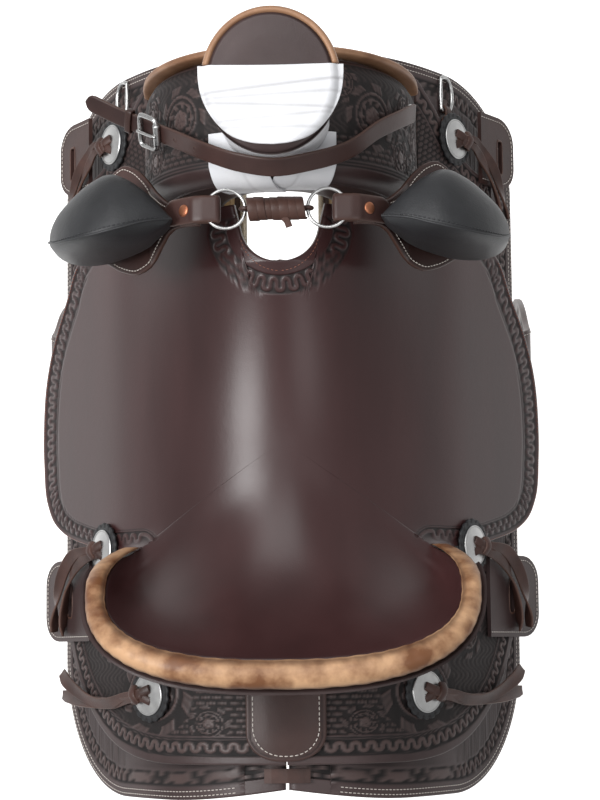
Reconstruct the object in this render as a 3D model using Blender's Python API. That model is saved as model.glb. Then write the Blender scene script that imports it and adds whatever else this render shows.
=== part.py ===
"""Wade saddle: tree, leathers, horn, bucking rolls, fenders and stirrups.

Metres. +X is the off (right) side, +Y is forward, +Z is up. The origin lies on the centre line, on the ridge
of the arch that the fleece makes over the horse's back.

Every flat leather lies on one arch, so a place on it is (u, y, n): u runs down the side from the ridge,
y runs forward and n stands off the fleece's face.
"""

import math

import bmesh
import bpy
import numpy as np

# The arch over the horse's back
ARCH_SLOPE = math.radians(57.0)
ARCH_BEND = 0.190
ARCH_FACETS = 16

# Leathers, from the horse outwards
CLEARANCE = 0.0004
FLEECE_THICK = 0.016
SKIRT_THICK = 0.0047
BAR_THICK = 0.0150
FENDER_THICK = 0.006
RIGGING_SPACE = 0.0170
JOCKEY_THICK = 0.0042

# Skirts and fleece
CHANNEL_HALF = 0.034
SKIRT_JOIN = 0.010
SKIRT_EDGE = 0.307
SKIRT_REAR = -0.372
SKIRT_REAR_SWELL = 0.011
SKIRT_FRONT = 0.312
SKIRT_JOIN_FRONT = -0.300
SKIRT_CORNER_ACROSS = 0.130
SKIRT_REAR_CORNER = 0.136
SKIRT_FRONT_CORNER = 0.105
FLEECE_INSET = 0.006
TIE_HALF_WIDTH = 0.0175
TIE_INSET = 0.006
TIE_LENGTH = 0.013

# Tree
BAR_INNER = 0.038
BAR_OUTER = 0.134
BAR_REAR = -0.290
BAR_FRONT = 0.262
BAR_CORNER = 0.035
FORK_REAR = 0.157
FORK_FRONT = 0.268
FORK_HALF_WIDTH = 0.122
FORK_TOP = 0.166
FORK_FOOT = -0.002
FORK_STAND = 0.0048
FORK_EDGE_ROUND = 0.015
FORK_FULLNESS = 2.3
GULLET_HALF_WIDTH = 0.056
GULLET_TOP = 0.114
COVER_THICK = 0.0045
LIP_THICK = 0.007
LIP_DEPTH = 0.022
GROUND_SEAT_HALF = 0.082
GROUND_SEAT_REAR = -0.150
GROUND_SEAT_FRONT = 0.080
GROUND_SEAT_THICK = 0.009
GROUND_SEAT_DROP = 0.0026
GROUND_SEAT_REST = 0.045

# Horn
HORN_FOOT_Y = 0.203
HORN_LEAN = 0.15
POST_RADIUS = 0.026
POST_FOOT_Z = 0.135
POST_SIDES = 24
WRAP_FOOT_RADIUS = 0.046
WRAP_TOP_RADIUS = 0.054
WRAP_FLATNESS = 0.95
CAP_CENTRE = (0.0, 0.218, 0.266)
CAP_HALF_WIDTH = 0.057
CAP_HALF_LENGTH = 0.061
CAP_THICK = 0.028
CAP_TILT = math.radians(4.7)
FLAP_THICK = 0.0025
FLAP_FRONT = 0.006

# Seat
DISH_Y = -0.060
SEAT_THICK = 0.0045
SEAT_LIFT = 0.020
SEAT_RISE = 0.036
SEAT_HALF_CROWN = 0.150
HOLE_HALF_WIDTH = 0.037
HOLE_CENTRE_Y = 0.135
SEAT_FRONT = 0.152
DISH_POWER = 3.0
TIP_POWER = 12.0
SEAT_EDGE = ((0.178, -0.149), (0.203, -0.139), (0.221, -0.129), (0.235, -0.116), (0.242, -0.100),
             (0.246, -0.058), (0.245, -0.018), (0.240, 0.021), (0.231, 0.062), (0.219, 0.101), (0.207, 0.136),
             (0.185, 0.149), (0.155, 0.152), (0.125, 0.152), (0.085, 0.152), (0.055, 0.152))
SEAT_RINGS = (0.14, 0.30, 0.46, 0.60, 0.72, 0.81, 0.89, 0.95, 1.0)

# Cantle
ROLL_CENTRE_Y = -0.190
ROLL_OUTER = (0.1745, 0.0900)
ROLL_INNER = (0.1570, 0.0650)
ROLL_FORWARD = 0.060
ROLL_FULLNESS = 2.5
ROLL_SWEEP = math.radians(125.0)
ROLL_TOP = 0.165
ROLL_TIP = 0.004
ROLL_HALF_HEIGHT = 0.011
CANTLE_SWEEP = math.radians(88.0)
CANTLE_SHARES = (0.81, 0.89, 0.95, 1.0)
CANTLE_THICK = 0.017
CANTLE_THINNING = 0.45
CANTLE_GAP = 0.0007
CANTLE_FOOT_X = 0.045
CANTLE_FOOT_THICK = 0.009
CANTLE_STAND = 0.0012
BACK_SWEEP = math.radians(105.0)
BACK_THICK = 0.0035
BACK_FOOT = 0.0010
BACK_LAP = 0.3
LIP_REACH = 0.005
LIP_DROP = 0.55
ROLL_RAYS = 13

# Jockeys
REAR_JOCKEY_EDGE = 0.262
REAR_JOCKEY_REAR = -0.349
REAR_JOCKEY_CORNER = (0.180, 0.160)
REAR_JOCKEY_FRONT_CORNER = (0.030, 0.022)
REAR_JOCKEY_SIDE_FRONT = -0.166
FRONT_JOCKEY_EDGE = ((0.127, 0.292), (0.147, 0.264), (0.160, 0.240), (0.181, 0.219), (0.204, 0.210))
PLUG_HALF = (0.037, 0.031)
PLUG_REAR = -0.346
PLUG_FRONT = -0.262

# Fenders and stirrups
FENDER_PIVOT_Y = 0.025
FENDER_EYE = 0.029
FENDER_BEND = 0.322
FENDER_BEND_RADIUS = 0.030
FENDER_HANG = math.radians(90.0)
FENDER_CURL = math.radians(292.0)
FENDER_DROP = 0.330
FENDER_SHAPE = ((0.0, 0.029), (0.030, 0.037), (0.100, 0.042), (0.150, 0.047), (0.190, 0.060), (0.240, 0.086),
                (0.290, 0.102), (0.330, 0.106), (0.380, 0.096), (0.420, 0.068), (0.450, 0.036), (0.700, 0.030))
BOLT_RADIUS = 0.006
STIRRUP_HEIGHT = 0.150
STIRRUP_HALF_TOP = 0.040
STIRRUP_HALF_TREAD = 0.066
STIRRUP_THICK = 0.010
STIRRUP_NECK_DEPTH = 0.026
STIRRUP_TREAD_DEPTH = 0.056

# Trim
CONCHO_RADIUS = 0.0195
CONCHO_THICK = 0.003
ROSETTE_RADIUS = 0.026
ROSETTE_THICK = 0.003
FRONT_CONCHO = (0.163, 0.240)
CORNER_CONCHO = (0.173, -0.150)
REAR_CONCHO = (0.125, -0.286)
CONCHO_STAND = 0.0006
CORNER_CONCHO_STAND = 0.0016
FRONT_STRING = (0.030, 0.082, -0.006, -0.020)
CORNER_STRING = (0.027, 0.072, -0.002, -0.006)
REAR_STRING = (0.027, 0.177, 0.001, 0.004)
STRING_WIDTH = 0.011
STRING_THICK = 0.0035
KEEPER_THICK = 0.004
FRONT_KEEPER = (0.204, 0.268, 0.205, 0.276)
REAR_KEEPER = (0.204, 0.300, -0.236, -0.157)
KEEPER_CORNER = (0.030, 0.024)
FRONT_SLOT = (0.240, 0.236)
REAR_SLOT = (0.246, -0.196)
KEEPER_SLOT = (0.008, 0.032)
SLOT_REACH = 0.004

# Bucking rolls with their rings and link
BUCKING_TIP_X = 0.094
BUCKING_Y = 0.141
BUCKING_HALF_DEPTH = 0.041
BUCKING_HEIGHT = 0.088
BACKING_THICK = 0.0035
BACKING_REACH = 0.155
BACKING_INNER_X = 0.070
RING_X = 0.044
RING_Y = 0.1320
RING_RISE = 0.0035
RING_RADIUS = 0.017
RING_WIRE = 0.0015
TAB_HALF_WIDTH = 0.0125
TAB_THICK = 0.0024
TAB_END_X = 0.090
LACE_TURNS = 7
LACE_RADIUS = 0.0027
LACE_COIL_RADIUS = 0.0072
LACE_POINTS = 24
CORE_GAP = 0.0003

# Night latch strap
STRAP_WIDTH = 0.017
STRAP_THICK = 0.0035
STRAP_SHARES = (-1.410, -1.148, -0.918, -0.697, -0.492, -0.246, 0.0, 0.246, 0.492, 0.738, 0.918, 1.000)
STRAP_ROUTE = ((0.246, 0.098), (0.228, 0.108), (0.213, 0.122), (0.196, 0.150), (0.180, 0.176), (0.162, 0.192),
               (0.1550, 0.196), (0.162, 0.192), (0.178, 0.178), (0.204, 0.148), (0.222, 0.113), (0.232, 0.088))
BUCKLE_SHARE = -0.918
BUCKLE_HALF = (0.011, 0.0145)
BUCKLE_WIRE = 0.0022
TONGUE_RADIUS = 0.0014
TONGUE_REACH = 1.12

# Layers that follow from the thicknesses
SKIRT_IN = FLEECE_THICK + CLEARANCE
SKIRT_OUT = SKIRT_IN + SKIRT_THICK
BAR_IN = SKIRT_OUT + CLEARANCE
BAR_OUT = BAR_IN + BAR_THICK
JOCKEY_IN = SKIRT_OUT + RIGGING_SPACE
JOCKEY_OUT = JOCKEY_IN + JOCKEY_THICK

# The tie lies just inside the skirts' rear edge
TIE_REAR = SKIRT_REAR + TIE_INSET
TIE_FRONT = TIE_REAR + TIE_LENGTH

# The lace's core fills the coil
CORE_RADIUS = (LACE_COIL_RADIUS - LACE_RADIUS - CLEARANCE - CORE_GAP) / 2


def clear_scene():
    for item in list(bpy.data.objects):
        bpy.data.objects.remove(item, do_unlink=True)


def material(name, color, roughness, metallic=0.0):
    mat = bpy.data.materials.new(name)
    mat.use_nodes = True
    shader = mat.node_tree.nodes["Principled BSDF"]
    shader.inputs["Base Color"].default_value = (*color, 1.0)
    shader.inputs["Roughness"].default_value = roughness
    shader.inputs["Metallic"].default_value = metallic
    return mat


BROWN = ((0.045, 0.022, 0.018), 0.38)
SMOOTH_BROWN = ((0.060, 0.026, 0.022), 0.34)
TAN = ((0.48, 0.27, 0.13), 0.5)
BLACK = ((0.018, 0.019, 0.021), 0.45)
WOOL = ((0.78, 0.72, 0.60), 0.95)
WHITE_HIDE = ((0.82, 0.82, 0.82), 0.7)
RAWHIDE = ((0.62, 0.50, 0.33), 0.6)
LACE = ((0.110, 0.040, 0.026), 0.55)
SILVER = ((0.72, 0.72, 0.70), 0.25, 1.0)


def add_object(name, bm, finish, origin=(0.0, 0.0, 0.0)):
    """Close up the mesh, point its faces out and put its origin where it turns."""
    bmesh.ops.remove_doubles(bm, verts=bm.verts, dist=1e-6)
    bmesh.ops.dissolve_degenerate(bm, edges=bm.edges, dist=1e-6)
    bmesh.ops.recalc_face_normals(bm, faces=bm.faces)
    mesh = bpy.data.meshes.new(name)
    bmesh.ops.translate(bm, verts=bm.verts, vec=[-value for value in origin])
    bm.to_mesh(mesh)
    bm.free()
    mesh.shade_smooth()
    mesh.set_sharp_from_angle(angle=math.radians(35.0))
    item = bpy.data.objects.new(name, mesh)
    item.location = origin
    item.data.materials.append(material(name, *finish))
    bpy.context.scene.collection.objects.link(item)
    return item


def grid_solid(name, top, bottom, finish, origin=(0.0, 0.0, 0.0)):
    """A plate between two grids of points, each rows by columns by 3."""
    bm = bmesh.new()
    rows, columns = top.shape[:2]
    sheets = []
    for grid in (top, bottom):
        sheets.append([[bm.verts.new(grid[i, j]) for j in range(columns)] for i in range(rows)])
    for sheet in sheets:
        for i in range(rows - 1):
            for j in range(columns - 1):
                bm.faces.new((sheet[i][j], sheet[i + 1][j], sheet[i + 1][j + 1], sheet[i][j + 1]))
    upper, lower = sheets
    for i in range(rows - 1):
        for j in (0, columns - 1):
            bm.faces.new((upper[i][j], upper[i + 1][j], lower[i + 1][j], lower[i][j]))
    for j in range(columns - 1):
        for i in (0, rows - 1):
            bm.faces.new((upper[i][j], upper[i][j + 1], lower[i][j + 1], lower[i][j]))
    return add_object(name, bm, finish, origin)


def ring_solid(name, rings, finish, closed=False, origin=(0.0, 0.0, 0.0)):
    """A skin over rings of points. Open ends are capped with a fan."""
    bm = bmesh.new()
    loops = [[bm.verts.new(point) for point in ring] for ring in rings]
    count = len(loops[0])
    pairs = list(zip(loops, loops[1:]))
    if closed:
        pairs.append((loops[-1], loops[0]))
    for first, second in pairs:
        for j in range(count):
            k = (j + 1) % count
            bm.faces.new((first[j], first[k], second[k], second[j]))
    if not closed:
        for loop, ring in ((loops[0], rings[0]), (loops[-1], rings[-1])):
            hub = bm.verts.new(np.mean(np.asarray(ring), axis=0))
            for j in range(count):
                bm.faces.new((hub, loop[j], loop[(j + 1) % count]))
    return add_object(name, bm, finish, origin)


def cut(item, cutter):
    """Take a cutter out of a piece, and keep the cutter as a guide."""
    cutter.hide_render = True
    cutter.display_type = "WIRE"
    boolean = item.modifiers.new("cut", "BOOLEAN")
    boolean.operation = "DIFFERENCE"
    boolean.solver = "EXACT"
    boolean.object = cutter


def fuse(item, other):
    """Union a guide solid into a piece."""
    other.hide_render = True
    other.display_type = "WIRE"
    boolean = item.modifiers.new("fuse", "BOOLEAN")
    boolean.operation = "UNION"
    boolean.solver = "EXACT"
    boolean.object = other


def arch_lines():
    """Facet lines of the arch: u, x, z and slope, for a slope that grows as a quarter sine to the bend."""
    parts = 40
    fine = np.linspace(0.0, ARCH_BEND, parts * ARCH_FACETS + 1)
    slope = ARCH_SLOPE * np.sin(math.pi / 2 * fine / ARCH_BEND)
    middle = (slope[1:] + slope[:-1]) / 2
    x = np.concatenate([[0.0], np.cumsum(np.cos(middle) * fine[1])])
    z = -np.concatenate([[0.0], np.cumsum(np.sin(middle) * fine[1])])
    straight = FENDER_BEND
    u = np.append(fine[::parts], ARCH_BEND + straight)
    x = np.append(x[::parts], x[-1] + straight * math.cos(ARCH_SLOPE))
    z = np.append(z[::parts], z[-1] - straight * math.sin(ARCH_SLOPE))
    return u, x, z, np.append(slope[::parts], ARCH_SLOPE)


LINE_U, LINE_X, LINE_Z, LINE_SLOPE = arch_lines()
LINE_SIN, LINE_COS = np.sin(LINE_SLOPE), np.cos(LINE_SLOPE)


def arch_point(u, y, n):
    """World points of places on the arch. A negative u is the near side."""
    u, y, n = np.broadcast_arrays(np.asarray(u, float), y, n)
    side = np.abs(u)
    x = np.interp(side, LINE_U, LINE_X) + n * np.interp(side, LINE_U, LINE_SIN)
    z = np.interp(side, LINE_U, LINE_Z) + n * np.interp(side, LINE_U, LINE_COS)
    return np.stack([np.where(u < 0, -x, x), y, z], axis=-1)


def arch_height(x, n):
    return np.interp(np.abs(x), LINE_X + n * LINE_SIN, LINE_Z + n * LINE_COS)


def arch_u(x, n):
    return np.interp(np.abs(x), LINE_X + n * LINE_SIN, LINE_U)


def arch_slope(u):
    return float(np.interp(abs(u), LINE_U, LINE_SLOPE))


def setback(u, edge, across, along):
    """How far a rounded corner draws the end in: an elliptical quarter that starts across before the edge."""
    part = np.clip((u - (edge - across)) / across, 0.0, 1.0)
    return along * (1.0 - np.sqrt(1.0 - part ** 2))


def stations(start, end, corner=0.0):
    """Places across a panel: its ends, the arch's facet lines and a few in the rounded corner."""
    inside = LINE_U[(LINE_U > start + 0.002) & (LINE_U < end - 0.002)]
    turn = end - corner * (1.0 - np.sin(np.linspace(0.0, math.pi / 2, 8))) if corner else []
    values = np.concatenate([[start, end], inside, turn])
    if start < 0.0 < end:
        values = np.concatenate([values, -LINE_U[(LINE_U < -start - 0.002)]])
    values = np.unique(np.round(values, 6))
    keep = np.concatenate([[True], np.diff(values) > 0.0012])
    keep[-1] = True
    return values[keep & (values >= start - 1e-6)]


def panel(name, side, across, rear, front, low, high, finish, rows=1, origin=(0.0, 0.0, 0.0)):
    """A leather on the arch: at each place across, it runs from rear to front."""
    share = np.linspace(0.0, 1.0, rows + 1)[:, None]
    rear, front = np.broadcast_to(rear, across.shape), np.broadcast_to(front, across.shape)
    y = rear + (front - rear) * share
    u = np.broadcast_to(across * side, y.shape)
    low, high = np.broadcast_to(low, across.shape), np.broadcast_to(high, across.shape)
    return grid_solid(name, arch_point(u, y, high), arch_point(u, y, low), finish, origin)


def skirt_ends(across, inset=0.0):
    """Rear and front ends of a skirt at each place across."""
    edge = SKIRT_EDGE - inset
    swell = SKIRT_REAR_SWELL * np.sin(np.clip(across / 0.11, 0.0, 1.0) * math.pi / 2)
    rear = SKIRT_REAR - swell + inset
    rear = rear + setback(across, edge, SKIRT_CORNER_ACROSS, SKIRT_REAR_CORNER)
    front = SKIRT_FRONT - inset - setback(across, edge, SKIRT_CORNER_ACROSS, SKIRT_FRONT_CORNER)
    joined = np.where(across < CHANNEL_HALF, SKIRT_JOIN_FRONT, front)
    return rear, joined


def make_skirts():
    for side, word in ((-1, "left"), (1, "right")):
        across = stations(SKIRT_JOIN, SKIRT_EDGE, SKIRT_CORNER_ACROSS)
        across = np.unique(np.append(across, (CHANNEL_HALF - 0.001, CHANNEL_HALF)))
        rear, front = skirt_ends(across)
        panel(f"skirt_{word}", side, across, rear, front, SKIRT_IN, SKIRT_OUT, BROWN)
        edge = SKIRT_EDGE - FLEECE_INSET
        across = stations(SKIRT_JOIN, edge, SKIRT_CORNER_ACROSS)
        across = np.unique(np.append(across, (CHANNEL_HALF - 0.001, CHANNEL_HALF)))
        rear, front = skirt_ends(across, FLEECE_INSET)
        panel(f"fleece_{word}", side, across, rear, front, 0.0, FLEECE_THICK, WOOL)
    across = stations(-TIE_HALF_WIDTH, TIE_HALF_WIDTH)
    panel("skirt_tie", 1, across, TIE_REAR, TIE_FRONT, SKIRT_OUT + CLEARANCE, SKIRT_OUT + CLEARANCE + 0.003, LACE)


def bar_top(across):
    middle = (BAR_INNER + BAR_OUTER) / 2
    half = (BAR_OUTER - BAR_INNER) / 2
    return BAR_IN + BAR_THICK * (1.0 - 0.38 * ((across - middle) / half) ** 2)


def make_bars():
    for side, word in ((-1, "left"), (1, "right")):
        across = stations(BAR_INNER, BAR_OUTER, BAR_CORNER)
        draw_in = setback(across, BAR_OUTER, BAR_CORNER, BAR_CORNER)
        panel(f"tree_bar_{word}", side, across, BAR_REAR + draw_in, BAR_FRONT - draw_in, BAR_IN, bar_top(across),
              RAWHIDE)


def bar_height(x):
    """Height of the bars' top face at x."""
    across = np.linspace(BAR_INNER, BAR_OUTER, 60)
    points = arch_point(across, 0.0, bar_top(across))
    return np.interp(np.abs(x), points[:, 0], points[:, 2])


def fork_outline(angle, offset=0.0):
    """Outer line of the fork seen from the front: x and z on a rounded square, angle 0 at the off foot."""
    x = (FORK_HALF_WIDTH + offset) * np.sign(np.cos(angle)) * np.abs(np.cos(angle)) ** (2 / FORK_FULLNESS)
    z = FORK_FOOT + (FORK_TOP + offset - FORK_FOOT) * np.abs(np.sin(angle)) ** (2 / FORK_FULLNESS)
    return x, z


def gullet_outline(angle, offset=0.0):
    x = (GULLET_HALF_WIDTH - offset) * np.sign(np.cos(angle)) * np.abs(np.cos(angle)) ** 0.85
    z = FORK_FOOT + (GULLET_TOP - offset - FORK_FOOT) * np.abs(np.sin(angle)) ** 0.85
    return x, z


def fork_height(x, offset=0.0):
    """Height of the fork's outer line at x."""
    part = np.clip(np.abs(x) / (FORK_HALF_WIDTH + offset), 0.0, 1.0)
    reach = (1.0 - part ** FORK_FULLNESS) ** (1 / FORK_FULLNESS)
    return FORK_FOOT + (FORK_TOP + offset - FORK_FOOT) * reach


def fork_angles(count=22):
    return math.pi / 2 - math.pi / 2 * np.linspace(1.0, -1.0, count + 1)


def fork_band(offset, depths):
    """Points round the fork's outer face at the given places along y, drawn in where the edges round over."""
    angle = fork_angles()
    sheet = []
    for y, inset in depths:
        x, z = fork_outline(angle, offset - inset)
        sheet.append(np.stack([x, np.full_like(x, y), z], axis=-1))
    return np.array(sheet)


def edge_rounding(rear, front, radius, steps=3):
    """Places along y with how far the edge draws in there."""
    turn = np.linspace(0.0, math.pi / 2, steps + 1)
    ends = [(rear + radius * (1 - math.sin(a)), radius * (1 - math.cos(a))) for a in turn[::-1]]
    middle = (rear + front) / 2
    mirror = [(rear + front - y, inset) for y, inset in ends[::-1]]
    return ends + [(middle, 0.0)] + mirror


def lift_to_bars(points, foot):
    """Stand the lowest points of an arch on the bars' top face."""
    lifted = points.copy()
    floor = bar_height(points[..., 0]) + foot
    low = np.abs(points[..., 0]) > GULLET_HALF_WIDTH * 0.6
    lifted[..., 2] = np.where(low & (points[..., 2] < floor), floor, points[..., 2])
    return lifted


def make_fork():
    depths = edge_rounding(FORK_REAR + COVER_THICK, FORK_FRONT - COVER_THICK, FORK_EDGE_ROUND)
    outer = fork_band(0.0, depths)
    angle = fork_angles()
    x, z = gullet_outline(angle)
    inner = np.array([np.stack([x, np.full_like(x, y), z], axis=-1) for y, _ in depths])
    wood = grid_solid("tree_fork", lift_to_bars(outer, FORK_STAND), lift_to_bars(inner, FORK_STAND), RAWHIDE)

    post_rings = []
    for z in (POST_FOOT_Z, cap_underside() - POST_RADIUS * math.tan(CAP_TILT)):
        post_rings.append(horn_ring(z, POST_RADIUS, POST_RADIUS, POST_SIDES))
    post = ring_solid("horn_post_guide", post_rings, RAWHIDE)
    fuse(wood, post)

    depths = edge_rounding(FORK_REAR, FORK_FRONT, FORK_EDGE_ROUND + COVER_THICK)
    outside = fork_band(COVER_THICK + CLEARANCE, depths)
    depths = edge_rounding(FORK_REAR + COVER_THICK - CLEARANCE, FORK_FRONT - COVER_THICK + CLEARANCE,
                           FORK_EDGE_ROUND)
    inside = fork_band(CLEARANCE, depths)
    floor = arch_height(FORK_HALF_WIDTH, JOCKEY_OUT) + 0.001
    for sheet in (outside, inside):
        low = sheet[..., 2] < floor + 0.012
        sheet[..., 2] = np.where(low, floor + 0.012, sheet[..., 2])
    cover = grid_solid("fork_cover", outside, inside, BROWN)
    hole_rings = []
    for z in (POST_FOOT_Z, FORK_TOP + 0.030):
        hole_rings.append(horn_ring(z, POST_RADIUS + CLEARANCE, POST_RADIUS + CLEARANCE, POST_SIDES))
    cut(cover, ring_solid("horn_hole_guide", hole_rings, BROWN))

    lip_angle = fork_angles(28)
    rows = []
    for offset, y in ((COVER_THICK + 0.002, 0.0), (COVER_THICK + 0.002, LIP_THICK)):
        x, z = fork_outline(lip_angle, offset)
        rows.append(np.stack([x, np.full_like(x, FORK_FRONT + CLEARANCE + y), z], axis=-1))
    inner_rows = []
    for y in (0.0, LIP_THICK):
        x, z = fork_outline(lip_angle, COVER_THICK + 0.002 - LIP_DEPTH)
        inner_rows.append(np.stack([x, np.full_like(x, FORK_FRONT + CLEARANCE + y), z], axis=-1))
    for row in rows + inner_rows:
        row[..., 2] = np.maximum(row[..., 2], floor + 0.012)
    grid_solid("gullet_lip", np.array(rows), np.array(inner_rows), TAN)


def horn_axis(z):
    """The horn leans forward as it rises."""
    return HORN_FOOT_Y + HORN_LEAN * (z - FORK_TOP)


def horn_ring(z, half_width, half_length, count):
    turn = np.linspace(0.0, 2 * math.pi, count, endpoint=False)
    x = half_width * np.cos(turn)
    y = horn_axis(z) + half_length * np.sin(turn)
    return np.stack([x, y, np.full_like(x, z)], axis=-1)


def cap_point(x, y, z):
    """A point given on the cap's own axes, tilted so that its front stands higher."""
    cos, sin = math.cos(CAP_TILT), math.sin(CAP_TILT)
    return np.stack([x + CAP_CENTRE[0], y * cos - z * sin + CAP_CENTRE[1], y * sin + z * cos + CAP_CENTRE[2]], -1)


def cap_underside():
    """Height of the cap's flat underside at its middle, less a clearance."""
    return CAP_CENTRE[2] - CAP_THICK / 2 - 2 * CLEARANCE


def cap_profile():
    """Half section of the cap: share of its radius and height, a slab with rounded edges and a soft crown."""
    turn = np.linspace(-math.pi / 2, math.pi / 2, 7)
    edge = 0.16
    share = 1.0 - edge + edge * np.cos(turn)
    height = CAP_THICK / 2 * np.sin(turn)
    crown = [(0.55, CAP_THICK / 2 + 0.0012)]
    return [(0.55, -CAP_THICK / 2)] + list(zip(share, height)) + crown


def make_horn():
    count = 28
    turn = np.linspace(0.0, 2 * math.pi, count, endpoint=False)
    rings = [cap_point(CAP_HALF_WIDTH * s * np.cos(turn), CAP_HALF_LENGTH * s * np.sin(turn),
                       np.full(count, h)) for s, h in cap_profile()]
    ring_solid("horn_cap", rings, BROWN)

    top_z = cap_underside()
    outer, inner = [], []
    levels = np.linspace(0.0, 1.0, 6)
    for share in levels:
        z = FORK_TOP + COVER_THICK + (top_z - FORK_TOP - COVER_THICK) * share
        radius = WRAP_FOOT_RADIUS + (WRAP_TOP_RADIUS - WRAP_FOOT_RADIUS) * share ** 2
        outer.append(horn_ring(z, radius, radius * WRAP_FLATNESS, POST_SIDES))
        inner.append(horn_ring(z, POST_RADIUS + CLEARANCE, POST_RADIUS + CLEARANCE, POST_SIDES))
    outer, inner = np.array(outer), np.array(inner)
    for sheet in (outer, inner):
        foot = fork_height(sheet[0, :, 0], COVER_THICK) + 2 * CLEARANCE
        sheet[0, :, 2] = foot
        sheet[-1, :, 2] = top_z + (sheet[-1, :, 1] - CAP_CENTRE[1]) * math.tan(CAP_TILT)
    bm = bmesh.new()
    columns = outer.shape[1]
    walls = [[[bm.verts.new(point) for point in ring] for ring in sheet] for sheet in (outer, inner)]
    for wall in walls:
        for first, second in zip(wall, wall[1:]):
            for j in range(columns):
                k = (j + 1) % columns
                bm.faces.new((first[j], first[k], second[k], second[j]))
    for end in (0, -1):
        for j in range(columns):
            k = (j + 1) % columns
            bm.faces.new((walls[0][end][j], walls[0][end][k], walls[1][end][k], walls[1][end][j]))
    add_object("horn_wrap", bm, WHITE_HIDE)

    share = np.linspace(0.0, 1.0, 7)[:, None]
    across = np.sin(np.linspace(-math.pi / 2, math.pi / 2, 15))[None, :] * 0.985
    edge = -CAP_HALF_LENGTH * 0.84 * np.sqrt(1.0 - across ** 2)
    front = np.minimum(FLAP_FRONT, -edge * 0.98)
    y = front + (edge - front) * share
    x = np.broadcast_to(across * CAP_HALF_WIDTH * 0.84, y.shape)
    lift = CAP_THICK / 2 + 0.0012 + CLEARANCE
    grid_solid("horn_flap", cap_point(x, y, np.full_like(y, lift + FLAP_THICK)),
               cap_point(x, y, np.full_like(y, lift)), WHITE_HIDE)


def roll_point(angle, half_axes):
    """Place on the cantle's curve in plan: an ellipse with full corners, its front quarter shorter."""
    sin, cos = np.sin(angle), np.cos(angle)
    x = half_axes[0] * np.sign(sin) * np.abs(sin) ** (2 / ROLL_FULLNESS)
    rear = half_axes[1] * np.abs(cos) ** (2 / ROLL_FULLNESS)
    forward = ROLL_FORWARD * np.abs(cos) ** (2 / ROLL_FULLNESS)
    y = ROLL_CENTRE_Y + np.where(cos > 0, -rear, forward)
    return x, y


def roll_height(angle):
    share = (np.abs(angle) / ROLL_SWEEP) ** 2.2
    return ROLL_TOP + (ROLL_TIP - ROLL_TOP) * share


def seat_base(x, y):
    """The seat before its dish rises: the arch with a crown over the bars that climbs to the hand hole."""
    climb = np.clip((y - DISH_Y) / 0.158, 0.0, 1.0) ** 2
    crown = np.clip(1.0 - (x / SEAT_HALF_CROWN) ** 2, 0.0, 1.0) ** 2
    return arch_height(x, JOCKEY_OUT) + (SEAT_LIFT + SEAT_RISE * climb) * crown


def seat_outline():
    """The off half of the seat's edge from the rear middle to the hand hole: x, y, rise and its power."""
    angle = np.linspace(0.0, ROLL_SWEEP, ROLL_RAYS)
    x, y = roll_point(angle, ROLL_INNER)
    rise = roll_height(angle) - ROLL_HALF_HEIGHT - 0.002 - seat_base(x, y)
    rise = np.maximum(rise, 0.0)
    power = DISH_POWER + (TIP_POWER - DISH_POWER) * (angle / ROLL_SWEEP) ** 2
    rear = np.stack([x, y, rise, power], axis=-1)
    side = np.array([(px, py, 0.0, DISH_POWER) for px, py in SEAT_EDGE])
    turn = np.linspace(0.0, math.pi / 2, 7)
    hole = np.stack([HOLE_HALF_WIDTH * np.cos(turn), HOLE_CENTRE_Y - HOLE_HALF_WIDTH * np.sin(turn),
                     np.zeros_like(turn), np.full_like(turn, DISH_POWER)], axis=-1)
    corner = np.array([(HOLE_HALF_WIDTH + 0.002, SEAT_FRONT, 0.0, DISH_POWER)])
    return np.concatenate([rear, side, corner, hole])


def seat_rays():
    half = seat_outline()
    mirror = half[1:-1][::-1] * np.array([-1.0, 1.0, 1.0, 1.0])
    return np.concatenate([half, mirror])


def seat_surface(rays, shares):
    """Points of the seat's top: rings by rays. Along a ray the dish rises as a power of the share."""
    share = np.asarray(shares)[:, None]
    x = rays[None, :, 0] * share
    y = DISH_Y + (rays[None, :, 1] - DISH_Y) * share
    z = seat_base(x, y) + rays[None, :, 2] * share ** rays[None, :, 3]
    return np.stack([x, y, z], axis=-1)


def seat_normals(rays, shares):
    """Unit normals by small steps along the ray and across it."""
    step = 1e-4
    share = np.asarray(shares)
    along = seat_surface(rays, share + step) - seat_surface(rays, share - step)
    point = seat_surface(rays, share)
    across = np.roll(point, -1, axis=1) - np.roll(point, 1, axis=1)
    normal = np.cross(along, across)
    normal /= np.linalg.norm(normal, axis=-1, keepdims=True)
    return np.where(normal[..., 2:] < 0, -normal, normal)


def make_seat():
    rays = seat_rays()
    shares = np.array(SEAT_RINGS)
    top = seat_surface(rays, shares)
    bottom = top - SEAT_THICK * seat_normals(rays, shares)
    centre = np.array([0.0, DISH_Y, float(seat_base(0.0, DISH_Y))])
    bm = bmesh.new()
    columns = len(rays)
    sheets = [[[bm.verts.new(point) for point in ring] for ring in sheet] for sheet in (top, bottom)]
    hubs = [bm.verts.new(centre), bm.verts.new(centre - np.array([0.0, 0.0, SEAT_THICK]))]
    for sheet, hub in zip(sheets, hubs):
        for j in range(columns):
            bm.faces.new((hub, sheet[0][j], sheet[0][(j + 1) % columns]))
        for first, second in zip(sheet, sheet[1:]):
            for j in range(columns):
                k = (j + 1) % columns
                bm.faces.new((first[j], first[k], second[k], second[j]))
    for j in range(columns):
        k = (j + 1) % columns
        bm.faces.new((sheets[0][-1][j], sheets[0][-1][k], sheets[1][-1][k], sheets[1][-1][j]))
    add_object("seat_leather", bm, SMOOTH_BROWN)


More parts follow.
